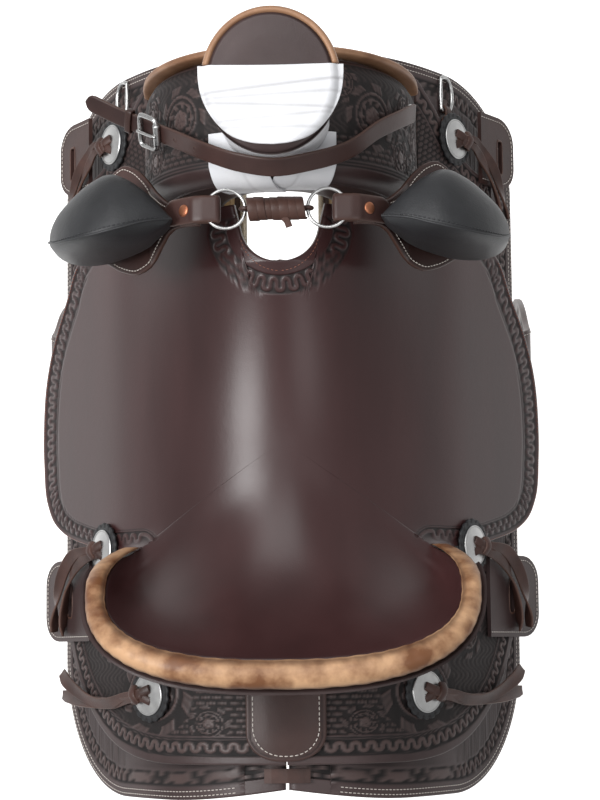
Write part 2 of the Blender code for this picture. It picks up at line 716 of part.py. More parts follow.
def make_ground_seat():
    y = np.linspace(GROUND_SEAT_REAR, GROUND_SEAT_FRONT, 9)[:, None]
    x = np.linspace(-GROUND_SEAT_HALF, GROUND_SEAT_HALF, 13)[None, :]
    x, y = np.broadcast_arrays(x, y)
    top = seat_base(x, y) - SEAT_THICK * 1.35 - GROUND_SEAT_DROP
    thick = GROUND_SEAT_THICK * (1.0 - 0.5 * (x / GROUND_SEAT_HALF) ** 2)
    bottom = np.maximum(top - thick, np.where(np.abs(x) > GROUND_SEAT_REST, bar_height(x) + CLEARANCE, -SKIRT_EDGE))
    grid_solid("ground_seat", np.stack([x, y, top], -1), np.stack([x, y, bottom], -1), RAWHIDE)


def make_cantle():
    angle = np.linspace(-ROLL_SWEEP, ROLL_SWEEP, 37)
    inner_x, inner_y = roll_point(angle, ROLL_INNER)
    outer_x, outer_y = roll_point(angle, ROLL_OUTER)
    middle = np.stack([(inner_x + outer_x) / 2, (inner_y + outer_y) / 2, roll_height(angle)], axis=-1)
    reach = np.stack([outer_x - inner_x, outer_y - inner_y, np.zeros_like(inner_x)], axis=-1) / 2
    width = np.linalg.norm(reach, axis=-1)
    reach *= np.maximum(1.0, 0.003 / np.maximum(width, 1e-5))[:, None]
    height = ROLL_HALF_HEIGHT * np.clip(np.sqrt(width / width.max()), 0.25, 1.0)
    turn = np.linspace(0.0, 2 * math.pi, 8, endpoint=False)
    rings = []
    for centre, arm, lift in zip(middle, reach, height):
        up = np.array([0.0, 0.0, lift])
        rings.append([centre + arm * math.cos(a) + up * math.sin(a) for a in turn])
    ring_solid("cantle_roll", rings, TAN)

    rays, bend, surface, normals = cantle_rays(CANTLE_SWEEP)
    front = surface - (SEAT_THICK + CANTLE_GAP) * normals
    back = front - cantle_thickness(bend) * normals
    mid_x, mid_y = [(a + b) / 2 for a, b in zip(roll_point(bend, ROLL_INNER), roll_point(bend, ROLL_OUTER))]
    ridge_z = roll_height(bend) - ROLL_HALF_HEIGHT - CLEARANCE
    toward = np.stack([mid_x, mid_y - ROLL_CENTRE_Y * 0.3], axis=-1)
    toward /= np.linalg.norm(toward, axis=-1, keepdims=True)
    ridge = np.stack([mid_x, mid_y, ridge_z], axis=-1)
    ridge_front, ridge_back = ridge.copy(), ridge.copy()
    ridge_front[:, :2] -= toward * 0.002
    ridge_back[:, :2] += toward * 0.002
    inward = np.array([0.0, DISH_Y]) - back[0, :, :2]
    inward *= CANTLE_FOOT_THICK / np.linalg.norm(inward, axis=1)[:, None]
    feet = []
    for plan in (back[0, :, :2] + inward, back[0, :, :2]):
        stand = bar_height(np.maximum(np.abs(plan[:, 0]), CANTLE_FOOT_X)) + CANTLE_STAND
        feet.append(np.concatenate([plan, stand[:, None]], axis=1))
    front = np.concatenate([feet[0][None], front, ridge_front[None]])
    back = np.concatenate([feet[1][None], back, ridge_back[None]])
    grid_solid("tree_cantle", front, back, RAWHIDE)

    sheets, bend = back_leather()
    x, y = roll_point(bend, (ROLL_OUTER[0] + LIP_REACH, ROLL_OUTER[1] + LIP_REACH))
    lip = np.stack([x, y, roll_height(bend) - ROLL_HALF_HEIGHT * LIP_DROP], axis=-1)
    lips = (lip, lip - np.array([0.0, 0.0, BACK_THICK]))
    rows = []
    for sheet, end in zip(sheets, lips):
        foot = sheet[0].copy()
        foot[:, 2] = arch_height(foot[:, 0], JOCKEY_OUT) + BACK_FOOT
        rows.append(np.concatenate([foot[None], sheet, end[None]]))
    grid_solid("cantle_back", rows[0], rows[1], BROWN)


def back_leather():
    """Inner and outer face of the leather behind the cantle, from the board's foot up, and its angles."""
    _, bend, surface, normals = cantle_rays(BACK_SWEEP)
    inner = surface - (SEAT_THICK + 2 * CANTLE_GAP + cantle_thickness(bend)) * normals
    return (inner, inner - BACK_THICK * normals), bend


def cantle_thickness(bend):
    """The cantle board thins towards its sides."""
    share = np.minimum(np.abs(bend) / CANTLE_SWEEP, 1.0)
    return CANTLE_THICK * (1.0 - CANTLE_THINNING * share ** 2)[None, :, None]


def cantle_rays(sweep):
    """The seat's rays out to a sweep on both sides: rays, angles, and the seat's points and normals there."""
    angle = np.linspace(0.0, ROLL_SWEEP, ROLL_RAYS)
    half = seat_outline()[:ROLL_RAYS]
    keep = angle <= sweep
    rays = np.concatenate([half[keep][1:][::-1] * np.array([-1.0, 1.0, 1.0, 1.0]), half[keep]])
    bend = np.concatenate([-angle[keep][1:][::-1], angle[keep]])
    whole = seat_rays()
    pick = [int(np.argmin(np.linalg.norm(whole - ray, axis=1))) for ray in rays]
    return rays, bend, seat_surface(rays, CANTLE_SHARES), seat_normals(whole, CANTLE_SHARES)[:, pick]


def make_rear_jockeys():
    (inner, outer), bend = back_leather()
    foot = (outer + (inner - outer) * BACK_LAP)[0, (bend >= 0.0) & (bend <= CANTLE_SWEEP)]
    butt_u = arch_u(foot[:, 0], JOCKEY_IN)
    butt_y = foot[:, 1]
    butt_u, butt_y = np.append(butt_u, butt_u[-1] + 0.010), np.append(butt_y, REAR_JOCKEY_SIDE_FRONT)
    for side, word in ((-1, "left"), (1, "right")):
        across = stations(0.0006, REAR_JOCKEY_EDGE, REAR_JOCKEY_CORNER[0])
        across = np.unique(np.append(across, butt_u[1:]))
        rear = REAR_JOCKEY_REAR + setback(across, REAR_JOCKEY_EDGE, *REAR_JOCKEY_CORNER)
        front = np.interp(across, butt_u, butt_y) - setback(across, REAR_JOCKEY_EDGE, *REAR_JOCKEY_FRONT_CORNER)
        panel(f"rear_jockey_{word}", side, across, rear, front, JOCKEY_IN, JOCKEY_OUT, BROWN)
    across = stations(-PLUG_HALF[0], PLUG_HALF[0])
    share = np.abs(across) / PLUG_HALF[0]
    rear = PLUG_REAR + 0.010 * share ** 3
    panel("jockey_plug", 1, across, rear, PLUG_FRONT, JOCKEY_OUT + CLEARANCE, JOCKEY_OUT + CLEARANCE + 0.003,
          SMOOTH_BROWN, rows=2)


def make_front_jockeys():
    edge_u = np.array([float(arch_u(x, JOCKEY_OUT)) for x, _ in FRONT_JOCKEY_EDGE])
    edge_y = np.array([y for _, y in FRONT_JOCKEY_EDGE])
    inner = float(arch_u(FORK_HALF_WIDTH + COVER_THICK + 0.002, JOCKEY_OUT))
    for side, word in ((-1, "left"), (1, "right")):
        across = stations(inner, edge_u[-1])
        across = np.unique(np.concatenate([across, edge_u[edge_u > inner]]))
        front = np.interp(across, edge_u, edge_y)
        rear = SEAT_FRONT + 0.0006 + setback(across, edge_u[-1], 0.02, 0.01)
        panel(f"front_jockey_{word}", side, across, rear, front, JOCKEY_IN, JOCKEY_OUT, BROWN)


def fender_path():
    """Middle line of a fender in its own section: x, z, heading and the length run from the pivot."""
    pivot_u = BAR_OUTER + CLEARANCE + FENDER_EYE
    along = (math.cos(ARCH_SLOPE), -math.sin(ARCH_SLOPE))
    bend = arch_point(ARCH_BEND, 0.0, BAR_IN + FENDER_THICK / 2)
    pivot = (float(bend[0]) + (pivot_u - ARCH_BEND) * along[0], float(bend[2]) + (pivot_u - ARCH_BEND) * along[1])
    flat = FENDER_BEND - pivot_u
    runs = [-FENDER_EYE * math.cos(a) for a in np.linspace(0.0, math.pi / 2, 5)]
    runs += [run for run, _ in FENDER_SHAPE if 0.0 < run < flat] + [flat]
    steps = [(pivot[0] + run * along[0], pivot[1] + run * along[1], ARCH_SLOPE, run) for run in runs]
    x, z, heading, run = steps[-1]
    turns = 5
    for _ in range(turns):
        turn = (FENDER_HANG - ARCH_SLOPE) / turns
        length = FENDER_BEND_RADIUS * turn
        middle = heading + turn / 2
        x, z, run = x + length * math.cos(middle), z - length * math.sin(middle), run + length
        heading += turn
        steps.append((x, z, heading, run))
    for _ in range(9):
        length = FENDER_DROP / 9
        x, z, run = x + length * math.cos(heading), z - length * math.sin(heading), run + length
        steps.append((x, z, heading, run))
    curl = BOLT_RADIUS + CLEARANCE + FENDER_THICK / 2
    bolt = (x - curl * math.sin(heading), z - curl * math.cos(heading))
    for k in range(1, 13):
        turn = FENDER_CURL * k / 12
        angle = heading + turn
        px, pz = bolt[0] + curl * math.sin(angle), bolt[1] + curl * math.cos(angle)
        steps.append((px, pz, angle, run + curl * turn))
    return np.array(steps), bolt, pivot


def make_fenders():
    steps, bolt, pivot = fender_path()
    x, z, heading, run = steps.T
    half = np.interp(run, *zip(*FENDER_SHAPE))
    eye = np.sqrt(np.clip(FENDER_EYE ** 2 - np.minimum(run, 0.0) ** 2, 0.0, None))
    half = np.where(run < 0.0, np.maximum(eye, 0.002), half)
    share = np.linspace(-1.0, 1.0, 3)[None, :]
    y = FENDER_PIVOT_Y + half[:, None] * share
    out_x, out_z = np.sin(heading), np.cos(heading)
    for side, word in ((-1, "left"), (1, "right")):
        sheets = []
        for offset in (FENDER_THICK / 2, -FENDER_THICK / 2):
            px = np.broadcast_to((side * (x + offset * out_x))[:, None], y.shape)
            pz = np.broadcast_to((z + offset * out_z)[:, None], y.shape)
            sheets.append(np.stack([px, y, pz], axis=-1))
        origin = (side * pivot[0], FENDER_PIVOT_Y, pivot[1])
        grid_solid(f"fender_{word}", sheets[0], sheets[1], SMOOTH_BROWN, origin)
        make_stirrup(word, (side * bolt[0], FENDER_PIVOT_Y, bolt[1]))


def make_stirrup(word, bolt):
    """A flat wooden bow that hangs on a bolt, with a wide tread."""
    line = [(STIRRUP_HALF_TOP, 0.012), (STIRRUP_HALF_TOP, -0.012)]
    for share in (0.3, 0.55, 0.75):
        line.append((STIRRUP_HALF_TOP + (STIRRUP_HALF_TREAD - STIRRUP_HALF_TOP) * share ** 0.8,
                     -STIRRUP_HEIGHT * share))
    for turn in np.linspace(0.25, 1.0, 4):
        angle = turn * math.pi / 2
        line.append((STIRRUP_HALF_TREAD - 0.020 * (1 - math.cos(angle)),
                     -STIRRUP_HEIGHT + 0.020 * (1 - math.sin(angle))))
    line.append((0.0, -STIRRUP_HEIGHT))
    right = np.array(line)
    path = np.concatenate([right, right[:-1][::-1] * np.array([-1.0, 1.0])])
    tangent = np.gradient(path, axis=0)
    tangent /= np.linalg.norm(tangent, axis=1, keepdims=True)
    normal = np.stack([-tangent[:, 1], tangent[:, 0]], axis=-1)
    drop = np.clip(-path[:, 1] / STIRRUP_HEIGHT, 0.0, 1.0)
    depth = (STIRRUP_NECK_DEPTH + (STIRRUP_TREAD_DEPTH - STIRRUP_NECK_DEPTH) * drop) / 2
    sheets = []
    for offset in (STIRRUP_THICK, 0.0):
        edge = path + normal * offset
        grid = [np.stack([bolt[0] + depth * s, bolt[1] + edge[:, 0], bolt[2] + edge[:, 1]], -1) for s in (-1, 1)]
        sheets.append(np.stack(grid, axis=1))
    bow = grid_solid(f"stirrup_{word}", sheets[0], sheets[1], RAWHIDE, bolt)
    turn = np.linspace(0.0, 2 * math.pi, 12, endpoint=False)
    reach = STIRRUP_HALF_TOP + STIRRUP_THICK + 0.004
    rings = []
    for y in (-reach, reach):
        rings.append([(bolt[0] + BOLT_RADIUS * math.cos(a), bolt[1] + y, bolt[2] + BOLT_RADIUS * math.sin(a))
                      for a in turn])
    fuse(bow, ring_solid(f"stirrup_bolt_guide_{word}", rings, SILVER))


def disc(name, centre, normal_slope, side, rings, finish):
    """A turned piece that stands on the side of the arch: rings of radius and height over the face."""
    turn = np.linspace(0.0, 2 * math.pi, 16, endpoint=False)
    out = np.array([side * math.sin(normal_slope), 0.0, math.cos(normal_slope)])
    down = np.array([side * math.cos(normal_slope), 0.0, -math.sin(normal_slope)])
    forward = np.array([0.0, 1.0, 0.0])
    centre = np.asarray(centre)
    loops = [[centre + out * h + (down * math.cos(a) + forward * math.sin(a)) * r for a in turn] for r, h in rings]
    return ring_solid(name, loops, finish)


CONCHO_RINGS = ((ROSETTE_RADIUS * 0.6, 0.0), (ROSETTE_RADIUS, 0.0), (ROSETTE_RADIUS, ROSETTE_THICK),
                (CONCHO_RADIUS, ROSETTE_THICK), (CONCHO_RADIUS, ROSETTE_THICK + CONCHO_THICK * 0.5),
                (CONCHO_RADIUS * 0.6, ROSETTE_THICK + CONCHO_THICK))


def string_line(name, side, start, end, n_start, n_end):
    """A saddle string laid down the side from one place to another."""
    across = stations(start[0], end[0])
    share = (across - start[0]) / (end[0] - start[0])
    y = start[1] + (end[1] - start[1]) * share
    low = n_start + (n_end - n_start) * share
    panel(name, side, across, y - STRING_WIDTH / 2, y + STRING_WIDTH / 2, low, low + STRING_THICK, LACE)


def make_conchos():
    """Conchos on their rosettes. A string is given by its two ends down the side and forward of the concho."""
    places = (("front", FRONT_CONCHO, FRONT_STRING), ("corner", CORNER_CONCHO, CORNER_STRING),
              ("rear", REAR_CONCHO, REAR_STRING))
    for side, word in ((-1, "left"), (1, "right")):
        for label, (x, y), (near, far, near_drift, far_drift) in places:
            u = float(arch_u(x, JOCKEY_OUT))
            seat = JOCKEY_OUT + (CORNER_CONCHO_STAND if label == "corner" else CONCHO_STAND)
            centre = arch_point(u, y, seat)
            centre[0] *= side
            disc(f"concho_{label}_{word}", centre, arch_slope(u), side, CONCHO_RINGS, SILVER)
            low = JOCKEY_OUT + CLEARANCE
            if label != "rear":
                low += KEEPER_THICK + CLEARANCE
            string_line(f"saddle_string_{label}_{word}", side, (u + near, y + near_drift), (u + far, y + far_drift),
                        low, low)


def make_keepers():
    """Latigo and billet keepers: stitched leathers with a slot, outside the jockeys."""
    shapes = (("front", FRONT_KEEPER, FRONT_SLOT), ("rear", REAR_KEEPER, REAR_SLOT))
    low = JOCKEY_OUT + CLEARANCE
    for side, word in ((-1, "left"), (1, "right")):
        for label, (inner, outer, rear, front), (slot_u, slot_y) in shapes:
            across = stations(inner, outer, KEEPER_CORNER[0])
            draw_in = setback(across, outer, *KEEPER_CORNER)
            plate = panel(f"{label}_keeper_{word}", side, across, rear + draw_in, front - draw_in, low,
                          low + KEEPER_THICK, SMOOTH_BROWN)
            span = np.array([slot_u - KEEPER_SLOT[0] / 2, slot_u + KEEPER_SLOT[0] / 2])
            cutter = panel(f"{label}_slot_guide_{word}", side, span, slot_y - KEEPER_SLOT[1] / 2,
                           slot_y + KEEPER_SLOT[1] / 2, low - SLOT_REACH, low + KEEPER_THICK + SLOT_REACH,
                           SMOOTH_BROWN)
            cut(plate, cutter)


def bucking_line(offset):
    """The fork cover's outer line beside the bucking roll: x, z, normal and length run from the inner end."""
    angle = np.linspace(math.pi / 2, 0.02, 400)
    x, z = fork_outline(angle, COVER_THICK + CLEARANCE + offset)
    keep = x >= BACKING_INNER_X
    x, z = x[keep], z[keep]
    run = np.concatenate([[0.0], np.cumsum(np.hypot(np.diff(x), np.diff(z)))])
    normal_x, normal_z = -np.gradient(z), np.gradient(x)
    size = np.hypot(normal_x, normal_z)
    return x, z, normal_x / size, normal_z / size, run


def line_at(line, run):
    return [np.interp(run, line[4], value) for value in line[:4]]


def make_bucking_rolls():
    backing_line = bucking_line(CLEARANCE)
    length = min(BACKING_REACH, backing_line[4][-1])
    run = np.linspace(0.0, length, 15)
    x, z, nx, nz = line_at(backing_line, run)
    front = np.interp(run, (0.0, 0.030, 0.080, 0.120, length), (0.009, 0.022, 0.047, 0.050, 0.036))
    rear = np.interp(run, (0.0, 0.030, 0.070, 0.120, length), (0.009, 0.020, 0.038, 0.042, 0.034))
    share = np.linspace(0.0, 1.0, 4)[None, :]
    y = BUCKING_Y - rear[:, None] + (front + rear)[:, None] * share
    pad_line = bucking_line(CLEARANCE * 2 + BACKING_THICK)
    tip = float(np.interp(BUCKING_TIP_X, pad_line[0], pad_line[4]))
    end = min(BACKING_REACH, pad_line[4][-1])
    count = 16
    for side, word in ((-1, "left"), (1, "right")):
        sheets = []
        for offset in (BACKING_THICK, 0.0):
            px = np.broadcast_to((side * (x + offset * nx))[:, None], y.shape)
            pz = np.broadcast_to((z + offset * nz)[:, None], y.shape)
            sheets.append(np.stack([px, y, pz], axis=-1))
        grid_solid(f"roll_backing_{word}", sheets[0], sheets[1], SMOOTH_BROWN)

        rings = []
        turn = np.linspace(0.0, math.pi, count // 2 + 1)
        for share_along in np.linspace(0.03, 0.97, 15):
            place = tip + (end - tip) * share_along
            cx, cz, ox, oz = line_at(pad_line, place)
            swell = math.sin(math.pi * share_along ** 0.85) ** 0.62
            half = BUCKING_HALF_DEPTH * swell
            height = BUCKING_HEIGHT * math.sin(math.pi * share_along ** 0.9) ** 0.8 + 0.004
            dome_y = BUCKING_Y + half * np.cos(turn)
            rise = 0.0003 + height * np.sin(turn) ** 0.9
            dome = np.stack([side * (cx + rise * ox), dome_y, cz + rise * oz], axis=-1)
            flat_y = BUCKING_Y + half * np.cos(turn[1:-1][::-1])
            flat = np.stack([np.full_like(flat_y, side * cx), flat_y, np.full_like(flat_y, cz)], axis=-1)
            rings.append(np.concatenate([dome, flat]))
        ring_solid(f"bucking_roll_{word}", rings, BLACK)


def tube(name, points, radius, finish, cyclic=False, resolution=1):
    """A round tube along points, with its ends filled."""
    curve = bpy.data.curves.new(name, "CURVE")
    curve.dimensions = "3D"
    curve.bevel_depth = radius
    curve.bevel_resolution = resolution
    curve.use_fill_caps = not cyclic
    spline = curve.splines.new("POLY")
    spline.points.add(len(points) - 1)
    for place, point in zip(spline.points, points):
        place.co = (*point, 1.0)
    spline.use_cyclic_u = cyclic
    item = bpy.data.objects.new(name, curve)
    curve.materials.append(material(name, *finish))
    bpy.context.scene.collection.objects.link(item)
    return item


def fold_strap(name, path, thick, y_low, y_high, finish, columns=2):
    """A strap whose middle line is given in x and z, as wide as the span in y."""
    path = np.asarray(path)
    tangent = np.gradient(path, axis=0)
    tangent /= np.linalg.norm(tangent, axis=1, keepdims=True)
    normal = np.stack([-tangent[:, 1], tangent[:, 0]], axis=-1)
    sheets = []
    for offset in (thick / 2, -thick / 2):
        edge = path + normal * offset
        rows = [np.stack([edge[:, 0], np.full(len(edge), y), edge[:, 1]], -1) for y in (y_low, y_high)]
        sheets.append(np.stack(rows, axis=1))
    return grid_solid(name, sheets[0], sheets[1], finish)


def tab_line():
    """Middle of a ring tab's fold: down the backing, then level towards the ring. Points of x, z and normal."""
    fold = RING_WIRE + 0.0006 + TAB_THICK / 2
    line = bucking_line(2 * CLEARANCE + BACKING_THICK + TAB_THICK / 2 + fold)
    x = np.linspace(TAB_END_X, BACKING_INNER_X + 0.002, 4)
    z = np.interp(x, line[0], line[1])
    level = z[-1] + RING_RISE
    fold_x = RING_X + math.sqrt(RING_RADIUS ** 2 - TAB_HALF_WIDTH ** 2) - RING_WIRE - 0.0012
    x = np.concatenate([x, [BACKING_INNER_X - 0.003, BACKING_INNER_X - 0.007, fold_x]])
    z = np.concatenate([z, [level - 0.0008, level, level]])
    return x, z, level, fold_x, fold


def make_rings_and_link():
    """Two rings in their folded tabs, drawn together by a loop of lace wound over with a lace."""
    x, z, level, fold_x, fold = tab_line()
    tangent = np.gradient(np.stack([x, z], axis=-1), axis=0)
    tangent /= np.linalg.norm(tangent, axis=1, keepdims=True)
    normal = np.stack([tangent[:, 1], -tangent[:, 0]], axis=-1)
    middle = np.stack([x, z], axis=-1)
    bend = np.linspace(math.pi / 2, 3 * math.pi / 2, 7)[1:-1]
    turn_back = np.stack([fold_x + fold * np.cos(bend), level + fold * np.sin(bend)], axis=-1)
    path = np.concatenate([middle + normal * fold, turn_back, (middle - normal * fold)[::-1]])
    for side, word in ((-1, "left"), (1, "right")):
        turn = np.linspace(0.0, 2 * math.pi, 28, endpoint=False)
        wire = [(side * RING_X + RING_RADIUS * math.cos(a), RING_Y + RING_RADIUS * math.sin(a), level) for a in turn]
        tube(f"roll_ring_{word}", wire, RING_WIRE, SILVER, cyclic=True)
        fold_strap(f"ring_tab_{word}", path * np.array([side, 1.0]), TAB_THICK, RING_Y - TAB_HALF_WIDTH,
                   RING_Y + TAB_HALF_WIDTH, SMOOTH_BROWN)

    wire_x = RING_X - RING_RADIUS
    half = wire_x - RING_WIRE - 2 * CLEARANCE - LACE_RADIUS
    pitch = 2 * half / LACE_TURNS
    count = LACE_TURNS * LACE_POINTS
    lace = []
    for k in range(count + 1):
        angle = 2 * math.pi * k / LACE_POINTS
        lace.append((-half + pitch * k / LACE_POINTS, RING_Y + LACE_COIL_RADIUS * math.cos(angle),
                     level + LACE_COIL_RADIUS * math.sin(angle)))
    tube("lace_link", lace, LACE_RADIUS, LACE)
    line = np.array(lace)
    apart = np.linalg.norm(line[:, None] - line[None], axis=-1)
    far = np.abs(np.subtract.outer(np.arange(len(line)), np.arange(len(line)))) > LACE_POINTS // 2
    print(f"lace link, least gap to itself {(apart[far].min() - 2 * LACE_RADIUS) * 1000:.2f} mm")

    narrow = CORE_RADIUS + CORE_GAP
    wide = RING_WIRE + CLEARANCE + CORE_RADIUS
    loop = []
    for x in np.linspace(-(wire_x - 0.006), wire_x - 0.006, 7):
        loop.append((x, RING_Y, level + narrow))
    for angle in np.linspace(math.pi * 0.62, -math.pi * 0.62, 11):
        loop.append((wire_x + wide * math.cos(angle), RING_Y, level + wide * math.sin(angle)))
    mirror = [(-x, y, 2 * level - z) for x, y, z in loop]
    tube("link_core", loop + mirror, CORE_RADIUS, LACE, cyclic=True)


def strap_frame(route, count):
    """A smooth line through the route's points, with its direction at each."""
    route = np.asarray(route)
    steps = np.concatenate([[0.0], np.cumsum(np.linalg.norm(np.diff(route, axis=0), axis=1))])
    slope = np.gradient(route, steps, axis=0)
    place = np.linspace(0.0, steps[-1], count)
    index = np.clip(np.searchsorted(steps, place) - 1, 0, len(steps) - 2)
    gap = (steps[index + 1] - steps[index])[:, None]
    t = (place - steps[index])[:, None] / gap
    h00, h10 = 2 * t ** 3 - 3 * t ** 2 + 1, t ** 3 - 2 * t ** 2 + t
    h01, h11 = -2 * t ** 3 + 3 * t ** 2, t ** 3 - t ** 2
    line = h00 * route[index] + h10 * gap * slope[index] + h01 * route[index + 1] + h11 * gap * slope[index + 1]
    tangent = np.gradient(line, axis=0)
    tangent /= np.linalg.norm(tangent, axis=1, keepdims=True)
    return line, tangent


def make_grab_strap():
    route = [(share * FORK_HALF_WIDTH, *place) for share, place in zip(STRAP_SHARES, STRAP_ROUTE)]
    line, tangent = strap_frame(route, 34)
    lean = np.array([0.0, 0.80, 0.60])
    wide = lean - tangent * (tangent @ lean)[:, None]
    wide /= np.linalg.norm(wide, axis=1, keepdims=True)
    face = np.cross(tangent, wide)
    face *= np.sign(face[:, 2])[:, None]
    sheets = []
    for offset in (STRAP_THICK / 2, -STRAP_THICK / 2):
        rows = [line + face * offset + wide * STRAP_WIDTH / 2 * s for s in (-1, 1)]
        sheets.append(np.stack(rows, axis=1))
    grid_solid("grab_strap", sheets[0], sheets[1], BROWN)

    near = int(np.argmin(np.abs(line[:, 0] - BUCKLE_SHARE * FORK_HALF_WIDTH)))
    centre = line[near] + face[near] * (STRAP_THICK / 2 + 0.0016 + BUCKLE_WIRE)
    along, across, up = tangent[near], wide[near], face[near]
    corners = []
    for angle in np.linspace(0.0, 2 * math.pi, 24, endpoint=False):
        cos, sin = math.cos(angle), math.sin(angle)
        a = BUCKLE_HALF[0] * np.sign(cos) * abs(cos) ** 0.4
        b = BUCKLE_HALF[1] * np.sign(sin) * abs(sin) ** 0.4
        corners.append(centre + along * a + across * b)
    tube("strap_buckle", corners, BUCKLE_WIRE, SILVER, cyclic=True)
    turn = np.linspace(0.0, 2 * math.pi, 8, endpoint=False)
    hinge = centre - along * BUCKLE_HALF[0] + up * (BUCKLE_WIRE + TONGUE_RADIUS + CLEARANCE)
    rings = []
    for reach in (0.0, TONGUE_REACH * 2 * BUCKLE_HALF[0]):
        rings.append([hinge + along * reach + (across * math.cos(a) + up * math.sin(a)) * TONGUE_RADIUS for a in turn])
    ring_solid("buckle_tongue", rings, SILVER, origin=tuple(float(v) for v in hinge))
    lifting = np.cross(along, up)
    print("buckle tongue pivot", np.round(hinge, 5).tolist(), "axis that lifts it", np.round(lifting, 5).tolist())


def build():
    clear_scene()
    make_skirts()
    make_bars()
    make_fork()
    make_horn()
    make_seat()
    make_ground_seat()
    make_cantle()
    make_rear_jockeys()
    make_front_jockeys()
    make_fenders()
    make_conchos()
    make_keepers()
    make_bucking_rolls()
    make_rings_and_link()
    make_grab_strap()


build()
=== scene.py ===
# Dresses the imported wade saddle: leathers, tooling, stitching, horn, pads, strings and hardware.
import math

import bpy
import mathutils
import numpy as np
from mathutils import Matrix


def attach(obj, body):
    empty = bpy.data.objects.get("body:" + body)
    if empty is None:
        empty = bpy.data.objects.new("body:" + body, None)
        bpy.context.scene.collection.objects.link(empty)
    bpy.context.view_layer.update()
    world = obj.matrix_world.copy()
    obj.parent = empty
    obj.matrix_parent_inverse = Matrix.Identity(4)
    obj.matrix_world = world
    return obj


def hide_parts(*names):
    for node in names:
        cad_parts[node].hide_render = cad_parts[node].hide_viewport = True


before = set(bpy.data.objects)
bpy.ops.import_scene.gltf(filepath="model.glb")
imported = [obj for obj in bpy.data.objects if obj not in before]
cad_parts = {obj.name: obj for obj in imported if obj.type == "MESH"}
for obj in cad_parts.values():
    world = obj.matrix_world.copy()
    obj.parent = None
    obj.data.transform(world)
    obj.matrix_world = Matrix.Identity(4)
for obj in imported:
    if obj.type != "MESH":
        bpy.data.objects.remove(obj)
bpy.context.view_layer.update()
sides = ((-1, "Left"), (1, "Right"))


# Camera, as the photograph sees the saddle
camera = {
    "place": (0.066, -0.25, 2.1),
    "target": (0.0158, -0.022, 0.05),
    "focalPixels": 2280.0,
    "roll": -0.011,
    "sensor": 36.0,
    "frameHeight": 800,
}


def joined(*parts):
    # coordinate arrays and numbers, put together along a new last axis
    return np.stack(np.broadcast_arrays(*parts), -1)


def unit(vectors):
    return vectors / np.linalg.norm(vectors, axis=-1, keepdims=True)


def aim(item, place, target, hint, turn=0.0):
    # stands an object at a place, looking at the target, rolled by an angle from the hint's up direction
    ahead = unit(np.array(target) - np.array(place))
    right = unit(np.cross(ahead, hint))
    up = np.cross(right, ahead)
    matrix = np.eye(4)
    matrix[:3, 0] = math.cos(turn) * right + math.sin(turn) * up
    matrix[:3, 1] = -math.sin(turn) * right + math.cos(turn) * up
    matrix[:3, 2], matrix[:3, 3] = -ahead, place
    item.matrix_world = mathutils.Matrix(matrix.tolist())
    bpy.context.scene.collection.objects.link(item)


lens = bpy.data.cameras.new("saddleCamera")
lens.sensor_fit = "VERTICAL"
lens.sensor_height = lens.sensor_width = camera["sensor"]
lens.lens = camera["focalPixels"] * camera["sensor"] / camera["frameHeight"]
lens.clip_end = 50.0
viewer = bpy.data.objects.new("saddleCamera", lens)
aim(viewer, camera["place"], camera["target"], (0.0, 1.0, 0.0), camera["roll"])
bpy.context.scene.camera = viewer


# Shader maths
class Wire:
    # one output of a material's node; arithmetic on it adds Math nodes

    def __init__(self, book, socket):
        self.book, self.socket = book, socket

    def math(self, operation, *others):
        links = {0: self}
        links.update({k + 1: value for k, value in enumerate(others)})
        return self.book.node("ShaderNodeMath", {"operation": operation}, links)

    def __add__(self, other):
        return self.math("ADD", other)

    def __sub__(self, other):
        return self.math("SUBTRACT", other)

    def __mul__(self, other):
        return self.math("MULTIPLY", other)

    def clip(self, low, high):
        return self.math("MAXIMUM", low).math("MINIMUM", high)


class MaterialBook:
    # a material with a Principled shader, and one way to add any other node

    def __init__(self, name, **fixed):
        self.material = bpy.data.materials.new(name)
        self.material.use_nodes = True
        self.tree = self.material.node_tree
        self.shader = self.tree.nodes["Principled BSDF"]
        for socket, value in fixed.items():
            self.shader.inputs[socket.replace("_", " ")].default_value = value

    def node(self, kind, settings=None, links=None, output=0):
        made = self.tree.nodes.new(kind)
        for key, value in (settings or {}).items():
            setattr(made, key, value)
        for key, value in (links or {}).items():
            if isinstance(value, Wire):
                self.tree.links.new(value.socket, made.inputs[key])
            else:
                made.inputs[key].default_value = value
        return Wire(self, made.outputs[output])

    def attribute(self, name):
        return self.node("ShaderNodeAttribute", {"attribute_name": name}, output=2)

    def place(self):
        return self.node("ShaderNodeTexCoord", output=3)

    def noise(self, scale, detail=3.0, roughness=0.5, stretch=None):
        place = self.place()
        if stretch:
            place = self.node("ShaderNodeMapping", {}, {0: place, 3: stretch})
        return self.node("ShaderNodeTexNoise", {}, {0: place, 2: scale, 3: detail, 4: roughness})

    def mixed(self, share, first, second):
        # inputs 0, 6 and 7 are a colour mix's factor and its two colours
        colors = {0: share}
        for key, color in ((6, first), (7, second)):
            colors[key] = color if isinstance(color, Wire) else (*color, 1.0)
        return self.node("ShaderNodeMix", {"data_type": "RGBA"}, colors, output=2)

    def bump(self, height, strength, distance):
        normal = self.node("ShaderNodeBump", {}, {"Height": height, "Strength": strength, "Distance": distance})
        self.feed("Normal", normal)

    def feed(self, socket, wire):
        self.tree.links.new(wire.socket, self.shader.inputs[socket])


